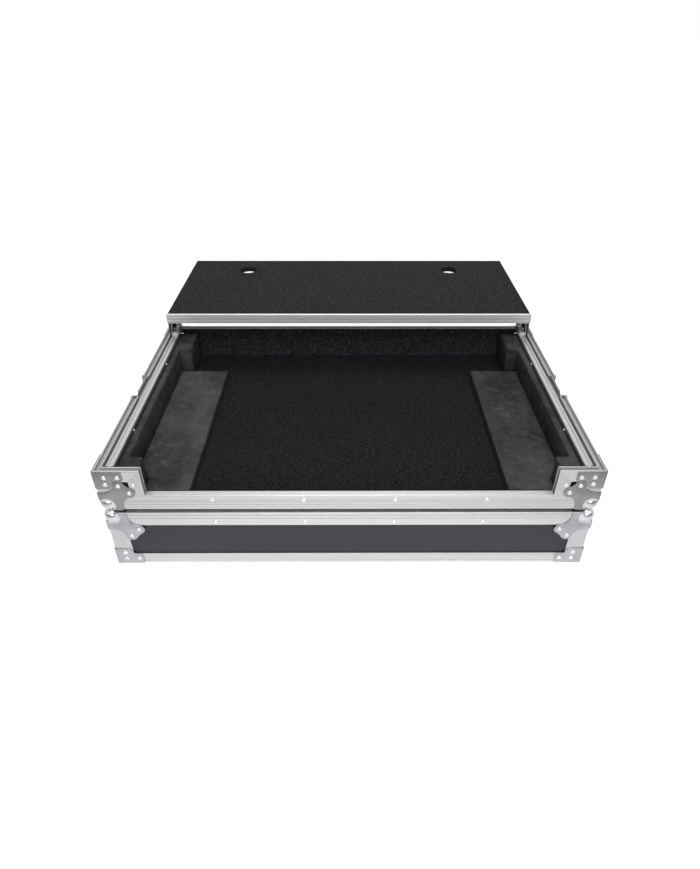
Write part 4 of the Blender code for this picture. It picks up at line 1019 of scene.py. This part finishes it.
# Painted shade in the grooves, and a painted highlight on the upward faces along the top.
paint_groove_shade(edging, [(1, edge_low.y)], 0.7 * MM)
edging.data.materials.append(aluminium["lip"])
for face in edging.data.polygons:
    if face.normal.z > 0.4 and face.center.z > edge_high.z - 1.5 * MM:
        face.material_index = 2
print("edging in mm", [round(length / MM, 1) for length in edge_high - edge_low])

# %% [markdown]
# ## The shelf's brackets
# Under each end of the board a bracket straddles the track. Its outer leg, of black steel, hangs in the
# slot beside the track, and its inner leg is a thin cast plate. Between them a pale nylon block slides on
# the track. Each leg is one bent part, so its outline is drawn once, seen from the front, and drawn out.

# %% Saddles, slides and bolts
BOLT_RINGS = ((2.9, -0.1), (2.9, 0.5), (2.7, 1.3), (2.1, 1.9), (1.3, 2.2), (1.1, 1.2), (0.4, 1.1))
PIN_RINGS = ((1.0, 0.0), (1.0, 6.4), (1.7, 6.6), (1.7, 7.7), (1.3, 8.1), (0.6, 8.35), (0.2, 8.4))
THICK, SADDLE_LENGTH = 3 * MM, 33 * MM


def bracket(label, side):
    low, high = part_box(f"shelf_bracket_{label}")
    out_face, front, top, rim = max(abs(low.x), abs(high.x)), low.y, high.z, TRAY_RIM
    back, in_face, leg_out = front + SADDLE_LENGTH, out_face - THICK, TRACK_IN - FIT
    leg_in = leg_out - THICK
    outer_leg = rounded([(out_face, top), (out_face, rim - 6 * MM, 2 * MM),
                         (out_face - 0.6 * MM, rim - 14 * MM, 1.4 * MM),
                         (in_face + 0.5 * MM, rim - 14 * MM, 1.4 * MM),
                         (in_face - 0.8 * MM, rim + 7 * MM, 1 * MM),
                         (out_face - 10 * MM, top - 0.1 * MM)], 0.2 * MM)
    inner_leg = rounded([(leg_out, top - 2.6 * MM), (leg_out, rim + 0.8 * MM, 0.8 * MM),
                         (leg_in, rim + 0.8 * MM, 0.8 * MM), (leg_in, rim + 22 * MM, 3 * MM),
                         (leg_in - 3.5 * MM, rim + 30 * MM, 3 * MM),
                         (leg_in - 3.5 * MM, top - 2.6 * MM)], 0.2 * MM)
    web = box_outline((leg_in, rim + 6 * MM), (out_face - 1 * MM, top - 0.2 * MM))
    groove_out, groove_in = TRACK_OUT - 4 * MM, TRACK_IN + 4 * MM
    sole, crest, key = rim + FIT, rim + 5.2 * MM, rim - 2.5 * MM
    slide = rounded([(in_face + 0.3 * MM, sole, 0.4 * MM), (groove_out, sole), (groove_out, key, 0.4 * MM),
                     (groove_in, key, 0.4 * MM), (groove_in, sole), (leg_out - 0.2 * MM, sole, 0.4 * MM),
                     (leg_out - 0.2 * MM, crest - 1.5 * MM, 0.8 * MM), (leg_out + 3 * MM, crest, 1 * MM),
                     (in_face - 2 * MM, crest, 1 * MM), (in_face + 0.3 * MM, crest - 1.5 * MM, 0.8 * MM)])
    # A bright strip along the outer leg's inner edge: a painted highlight.
    highlight_strip = [(in_face - 0.2 * MM, rim - 3 * MM), (in_face - 1.3 * MM, rim + 7 * MM),
            (out_face - 9.6 * MM, top - 5 * MM)]

    def drawn(shape, outline, start, end, ease=0.0):
        prism(shape, [(side * x, z) for x, z in outline], start, end, "Y", ease)

    def steel(shape):
        drawn(shape, outer_leg, front, front + SADDLE_LENGTH * 0.62, 0.4 * MM)
        drawn(shape, web, back - 6 * MM, back - 3 * MM)
        x0, x1 = sorted((side * (out_face - 56 * MM), side * (in_face - 1 * MM)))
        block(shape, (x0, front + 0.2 * MM, top - 2.6 * MM), (x1, front + 100 * MM, top - 0.1 * MM), EASE)

    def bolts(shape):
        """Two bolts, a pin near the rim, and a painted highlight: a bright strip along the outer leg's edge.
        """
        for along in (5.0, 24.0):
            foot = (side * leg_in, front + along * MM, rim + 19.5 * MM)
            turned(shape, foot, (-side, -0.35, 0.2), BOLT_RINGS, 24)
        pin = (side * (leg_in + 0.5 * MM), front + 8.7 * MM, rim + 2.0 * MM)
        turned(shape, pin, (-side, 0, 0), PIN_RINGS, 20)
        for start, end in zip(highlight_strip, highlight_strip[1:]):
            beside = [(x + 0.9 * MM, z) for x, z in (end, start)]
            drawn(shape, [start, end, *beside], front + 0.05 * MM, front + 1.0 * MM)
    plate_mesh = mesh_of(lambda shape: drawn(shape, inner_leg, front, back, 0.4 * MM))
    slide_mesh = mesh_of(lambda shape: drawn(shape, slide, front + 0.4 * MM, back - 1 * MM, EASE))
    solid = [f"shelf_bracket_{label}"]
    for name, mesh, finish, stands_for in (("saddle", mesh_of(steel), black_steel, solid),
                                           ("saddle_plate", plate_mesh, cast_steel, solid),
                                           ("slide", slide_mesh, pale_nylon, ()),
                                           ("bolts", mesh_of(bolts), rivet_metal, ())):
        fit_piece(f"shelf_{name}_{label}", mesh, finish, "shelf", stands_for)
    return out_face


print("saddles reach out to", [round(bracket(label, side), 4) for label, side in SIDES])

# %% [markdown]
# ## Foam walls and pads
# The controller is held by foam: a wall along each side with a thicker block at both ends, and a low pad on
# the floor at each side. Foam is cut with a long blade, so its edges are crisp but never quite straight.
# A cloth simulation would blow it up like a cushion, so instead the outline is walked in short steps that
# waver by a third of a millimetre, and the edges are eased by a millimetre. The noise that moves the steps
# would start from the clock, and cut other edges each time, so it gets a seed.

# %% Hand-cut edges
from mathutils import noise

noise.seed_set(1)
WAVER, STRIDE, FOAM_EASE, FOAM_CORNER = 0.35 * MM, 14 * MM, 1.1 * MM, 2.6 * MM
WAVES, LAYERS = 45, 9
# Each level: bottom or top, how far from it, and how far the outline is drawn in, in steps of FOAM_EASE.
FOAM_LEVELS = ((0, 0, 0.3), (0, 0.4, 0.0), (1, -1, 0.0), (1, -0.5, 0.15), (1, -0.15, 0.38), (1, 0, 0.65))


def hand_cut(outline, layer):
    """Walk the outline in short steps and let each one stray a little, by a layer of the noise."""
    walked = []
    for i, point in enumerate(outline):
        start, end = Vector(point), Vector(outline[(i + 1) % len(outline)])
        count = max(1, round((end - start).length / STRIDE))
        for here in (start.lerp(end, k / count) for k in range(count)):
            stray = noise.noise_vector(Vector((here.x * WAVES, here.y * WAVES, layer)))
            walked.append((here.x + stray.x * WAVER, here.y + stray.y * WAVER))
    return walked


def foam_piece(name, node, outline, body):
    low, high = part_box(node)

    def build(shape):
        cut, rows = hand_cut(rounded(shrunk(outline, WAVER), FOAM_CORNER, 2), low.x * LAYERS), []
        for at, shift, inset in FOAM_LEVELS:
            z = (low.z, high.z)[at] + shift * FOAM_EASE
            rows.append([(*point, z) for point in shrunk(cut, inset * FOAM_EASE)])
        loft(shape, rows)
        shape.normal_update()
        caps = [face for face in shape.faces if len(face.verts) > 4]
        bmesh.ops.triangulate(shape, faces=caps, ngon_method="EAR_CLIP")
    fit_piece(name, mesh_of(build), foam, body, [node], 60)


print("foam edges are eased by", FOAM_EASE / MM, "mm")

# %% [markdown]
# The walls fill the room between the boards and the opening: thick blocks at both ends, 12 mm thin between.
# The pads lie inside them, and one sheet fills the lid. Their outlines come from the boxes of the solids.

# %% The five pieces of foam
for label, side in SIDES:
    low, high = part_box(f"foam_side_{label}")
    out, face = side * max(abs(low.x), abs(high.x)), side * min(abs(low.x), abs(high.x))
    wall, front_end, rear_start = out - side * 12 * MM, low.y + 33 * MM, high.y - 88 * MM
    foam_piece(f"foam_wall_{label}", f"foam_side_{label}",
               [(out, low.y), (face, low.y), (face, front_end), (wall, front_end), (wall, rear_start),
                (face, rear_start), (face, high.y), (out, high.y)], "tray")
    low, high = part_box(f"foam_pad_{label}")
    inner, gap = side * min(abs(low.x), abs(high.x)), side * FIT
    foam_piece(f"foam_rest_{label}", f"foam_pad_{label}",
               [(inner, low.y), (face - gap, low.y), (face - gap, front_end + FIT),
                (wall - gap, front_end + FIT), (wall - gap, high.y), (inner, high.y)], "tray")
foam_piece("lid_foam_sheet", "lid_foam_pad", box_outline(*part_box("lid_foam_pad")), "lid")
print("foam pieces: 5")

# %% [markdown]
# ## Felt linings
# A felt sheet lies on the floor, and another is glued to the rear wall. Where the rear sheet meets the
# floor its cut edge has frayed into a thin pale line. The sheets are thin slabs with soft edges, and the
# fray is a ribbon at the foot of the rear one, whose height strays with a noise.

# %% Floor and rear lining
floor_felt_low, floor_felt_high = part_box("floor_lining")
rear_felt_low, rear_felt_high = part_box("rear_lining")


def floor_sheet(shape):
    outline = rounded(box_outline(floor_felt_low, floor_felt_high), 2 * MM, 3)
    low, high = floor_felt_low.z, floor_felt_high.z
    loft(shape, [[(*point, z) for point in shrunk(outline, inset)]
                 for z, inset in ((low, 0), (high - EASE, 0), (high, EASE))])


def rear_sheet(shape):
    """Seen from the side: thick on the board, thin where it runs up over the rim's inner face."""
    (x0, y0, z0), (x1, y1, z1) = rear_felt_low, rear_felt_high
    thin, step = REAR - RIM_WIDTH - FIT, TRAY_RIM - RIM_FACE - FIT
    outline = rounded([(y0, z0, 0.6 * MM), (y1, z0), (y1, step), (thin, step), (thin, z1, 0.3 * MM),
                       (y0, z1, EASE)])
    prism(shape, outline, x0, x1, "X")
    count = round((x1 - x0) / (3 * MM))
    rows, back, foot = [], y0 + 0.4 * MM, z0 + 0.1 * MM
    for i in range(count + 1):
        x = x0 + (x1 - x0) * i / count
        stray = noise.noise_vector(Vector((x * 160, 0, 0)))
        top, out = z0 + (2.2 + 1.6 * stray.x) * MM, y0 - (0.25 + 0.15 * stray.y) * MM
        rows.append([(x, back, foot), (x, out, foot), (x, out + 0.1 * MM, top), (x, back, top)])
    for face in loft(shape, rows):
        face.material_index = 1


def felt_sheet(name, build, finish, node):
    made = fit_piece(name, mesh_of(build), finish, "tray", [node], 60)
    return made


felt_sheet("floor_felt_sheet", floor_sheet, floor_felt, "floor_lining")
rear = felt_sheet("rear_felt_sheet", rear_sheet, wall_felt, "rear_lining")
rear.data.materials.append(frayed_felt)
print("linings laid")

# %% [markdown]
# ## Latches
# A butterfly latch sits in a dish on each side. A key turns in its middle, a hook plate goes down with it
# and pulls on the lip in the lid's dish, and two wings on the key's spine fold flat when it is shut. The
# model has the dishes, hook plates and keepers in the right shape; the key and the wings are made again
# with a rounded spine, knuckles and pressed wings.

# %% Keys and wings
WING_EDGE = ((2.4, -11.0, 1.5), (14.5, -11.0, 3.5), (19.0, -6.0, 2.5), (19.0, 6.0, 2.5), (14.5, 11.0, 3.5),
             (2.4, 11.0, 1.5), (2.4, 8.0, 0.4), (4.2, 7.4, 1), (4.2, -7.4, 1), (2.4, -8.0, 0.4))


def latch(label, side):
    low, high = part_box(f"latch_key_{label}")
    disc_in, spine_out = (low.x, high.x) if side > 0 else (high.x, low.x)
    key_z = (low.z + high.z) / 2
    wing_low, wing_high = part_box(f"latch_wing_front_{label}")
    plate_middle = (wing_low.x + wing_high.x) / 2

    def beside(points, end=1):
        """Points in millimetres from the key's middle, y towards the given end of the case."""
        return [(LATCH_Y + end * y * MM, key_z + z * MM) for y, z in points]

    def raised(shape, points, start, end, ease):
        prism(shape, points, start, end, "X", ease * MM)

    def key(shape):
        disc_out = plate_middle - side * 1.0 * MM
        for radius, start in ((3.0, disc_in), (9.0, disc_out - side * 1.4 * MM)):
            raised(shape, beside(arc((0, 0), radius, 0, 351, 39)), start, disc_out, 0.3)
        spine = rounded(box_outline((-1.8, -7), (1.8, 7)), 1.2)
        raised(shape, beside(spine), disc_out - side * 0.2 * MM, spine_out, 0.6)

    def wing(shape, end):
        raised(shape, beside(rounded(WING_EDGE, 0.5), end), plate_middle - side * 0.7 * MM,
               plate_middle + side * 0.7 * MM, 0.35)
        for middle in (-9.4, 9.4):
            knuckle = arc((LATCH_Y + end * 3.0 * MM, plate_middle), 0.95 * MM, 0, 337.5, 15)
            loft(shape, [[(x, y, key_z + (middle + half) * MM) for y, x in knuckle] for half in (-1.5, 1.5)])
        raised(shape, beside(arc((12.2, 0), 3.4, 0, 345, 23), end), plate_middle,
               plate_middle + side * 0.95 * MM, 0.3)
    fit_piece(f"latch_spindle_{label}", mesh_of(key), plate_steel["tray"], f"key_{label}",
              [f"latch_key_{label}"])
    for place, end in ENDS:
        fit_piece(f"latch_leaf_{place}_{label}", mesh_of(lambda shape: wing(shape, end)), plate_steel["tray"],
                  f"wing_{place}_{label}", [f"latch_wing_{place}_{label}"])


for label, side in SIDES:
    latch(label, side)
print("latches dressed: 2")

# %% [markdown]
# The dishes are riveted through their flanges, with smaller rivets than the corners.

# %% Latch rivets
def latch_rivets(level, rise):
    return [((side * (HALF + STAND), LATCH_Y + across * 38.6 * MM, level + rise * drop), (side, 0, 0), 0.6)
            for side in (-1, 1) for across in (-1, 1) for drop in (12 * MM, 38 * MM)]


set_rivets("lid_dish_rivets", latch_rivets(LID_RIM, 1), "lid")
set_rivets("tray_dish_rivets", latch_rivets(TRAY_RIM, -1), "tray")
print("dish rivets: 16")

# %% [markdown]
# ## Parts that are kept from the model
# Boards, dishes, hook plates and battens have the right shape already. Each keeps its mesh and gets its
# finish, and two modifiers that don't touch the mesh itself: Decimate joins the flat triangles back into
# faces, and Bevel eases every edge, because a perfectly sharp edge never catches the light.

# %% Finish the kept parts
def keep(node, finish, ease):
    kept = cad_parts[node]
    kept.data.materials.clear()
    kept.data.materials.append(finish)
    joined = kept.modifiers.new("joined faces", "DECIMATE")
    joined.decimate_type, joined.angle_limit = "DISSOLVE", math.radians(1)
    eased = kept.modifiers.new("eased edges", "BEVEL")
    eased.width, eased.segments, eased.harden_normals = ease * MM, 2, True
    eased.limit_method, eased.angle_limit = "ANGLE", math.radians(40)
    kept.data.shade_smooth()


for name in [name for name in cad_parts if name.endswith("_panel")]:
    keep(name, wall_laminate, 0.4)
keep("shelf_board", shelf_coat, 0.5)
for label, _ in SIDES:
    keep(f"guide_batten_{label}", stained_wood, 0.3)
    keep(f"latch_dish_{label}", plate_steel["tray"], 0.3)
    keep(f"latch_hook_{label}", plate_steel["tray"], 0.3)
    keep(f"lid_keeper_{label}", plate_steel["lid"], 0.3)
fit_piece("strip_screws", mesh_of(strip_screws), rivet_metal, "tray", sharp=50)
shown = [name for name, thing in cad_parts.items() if not thing.hide_render]
print("kept from the model:", len(shown), "of", len(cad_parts))

# %% [markdown]
# ## The room that the metal mirrors
# The photograph is taken in a white studio. To the camera the world is plain white. Polished steel needs
# something to mirror, though, so in reflections the world has the rough plan of a studio: a dark place
# behind the camera, a bright softbox above it, pale walls and a greyer ceiling. As a light it is dim, so
# that the lamps shape the case and a colour comes out about as it was written.

# %% The world
world = bpy.data.worlds.new("studio")
bpy.context.scene.world = world
world.use_nodes = True
world.node_tree.nodes.clear()
room = Nodes(world.node_tree)
rays = room.node("ShaderNodeLightPath").outputs
seen = room.node("ShaderNodeMath", {"operation": "MAXIMUM"},
                 {0: rays["Is Camera Ray"], 1: rays["Is Transmission Ray"]}).outputs[0]
facing = room.node("ShaderNodeTexCoord").outputs["Generated"]
way = room.node("ShaderNodeSeparateXYZ", {}, {0: facing}).outputs
height = Value(room, way[2])
in_front = 1 - Value(room, way[1]).between(-0.40, -0.15)
dark_place = in_front * (1 - height.between(0.28, 0.34))
softbox = in_front * height.between(0.30, 0.36)
mirrored = Value(room, rays["Is Glossy Ray"])
reflected = 0.82 - dark_place * 0.52 + softbox * 0.5 - height.between(0.80, 0.95) * 0.30
strengths = (reflected * mirrored + (1 - mirrored) * 0.06, 1.0)
studio, white = (room.node("ShaderNodeBackground", {}, {"Color": (1, 1, 1), "Strength": strength}).outputs[0]
                 for strength in strengths)
both = room.node("ShaderNodeMixShader", {}, {0: seen, 1: studio, 2: white})
room.node("ShaderNodeOutputWorld", {}, {"Surface": both.outputs[0]})
print("world nodes:", len(world.node_tree.nodes))

# %% [markdown]
# ## The floor
# The floor shows as white, yet it keeps the case's soft shadow: a matt surface with a glow that only the
# camera and reflections see. To the camera the glow grows away from the case, where the lamps don't reach,
# so the floor stays white. In reflections it fades there, as a real floor does.

# %% A white floor with a shadow
def floor_finish():
    finish = Finish("white_floor", (0.86, 0.86, 0.86), 0.6)
    rays = finish.node("ShaderNodeLightPath").outputs
    camera_ray, glossy_ray = Value(finish, rays["Is Camera Ray"]), Value(finish, rays["Is Glossy Ray"])
    length = finish.node("ShaderNodeVectorMath", {"operation": "LENGTH"}, {0: finish.places()})
    distance = Value(finish, length.outputs[1])
    strength = (camera_ray * (distance.between(1.0, 3.5) * 0.35 + 0.70)
                + glossy_ray * (0.82 - distance.between(0.50, 0.95) * 0.60))
    matt = finish.node("ShaderNodeBsdfDiffuse", {}, {"Color": (0.80, 0.80, 0.80)}).outputs[0]
    glow = finish.node("ShaderNodeEmission", {}, {"Color": (1, 1, 1), "Strength": strength}).outputs[0]
    lit = finish.node("ShaderNodeAddShader", {}, {0: matt, 1: glow}).outputs[0]
    finish.plug(finish.tree.nodes["Material Output"].inputs["Surface"], lit)
    return finish.material


FLOOR_REACH = 14.0
corners = box_outline((-FLOOR_REACH, -FLOOR_REACH), (FLOOR_REACH, FLOOR_REACH))
slab = mesh_of(lambda shape: shape.faces.new([shape.verts.new((*corner, 0)) for corner in corners]))
ground = bpy.data.objects.new("studio_floor", slab)
ground.data.materials.append(floor_finish())
bpy.context.scene.collection.objects.link(ground)
print("floor", ground.dimensions[:])

# %% [markdown]
# ## The lamps
# A wide lamp hangs above and a little behind, so that the tops shine. A stronger one hangs high in front,
# and a dim one stands low in front and lights the faces that look at the camera. All are wider than the
# case, which is what makes the shadows soft.

# %% Studio lamps
def soft_lamp(name, place, size, power):
    light = bpy.data.lights.new(name, "AREA")
    light.shape, light.size, light.size_y, light.energy = "RECTANGLE", size[0], size[1], power
    lamp = bpy.data.objects.new(name, light)
    toward = Vector((0, 0, 0.1)) - Vector(place)
    lamp.matrix_world = Matrix.Translation(place) @ toward.to_track_quat("-Z", "Y").to_matrix().to_4x4()
    bpy.context.scene.collection.objects.link(lamp)


soft_lamp("lamp_above", (0.0, 0.75, 2.5), (1.2, 1.2), 14)
soft_lamp("lamp_high_front", (0.1, -1.2, 2.5), (1.8, 1.0), 28)
soft_lamp("lamp_low_front", (0.05, -2.6, 1.0), (1.6, 0.8), 12)
bpy.context.scene.view_settings.view_transform = "Standard"
print("lamps:", len(bpy.data.lights))
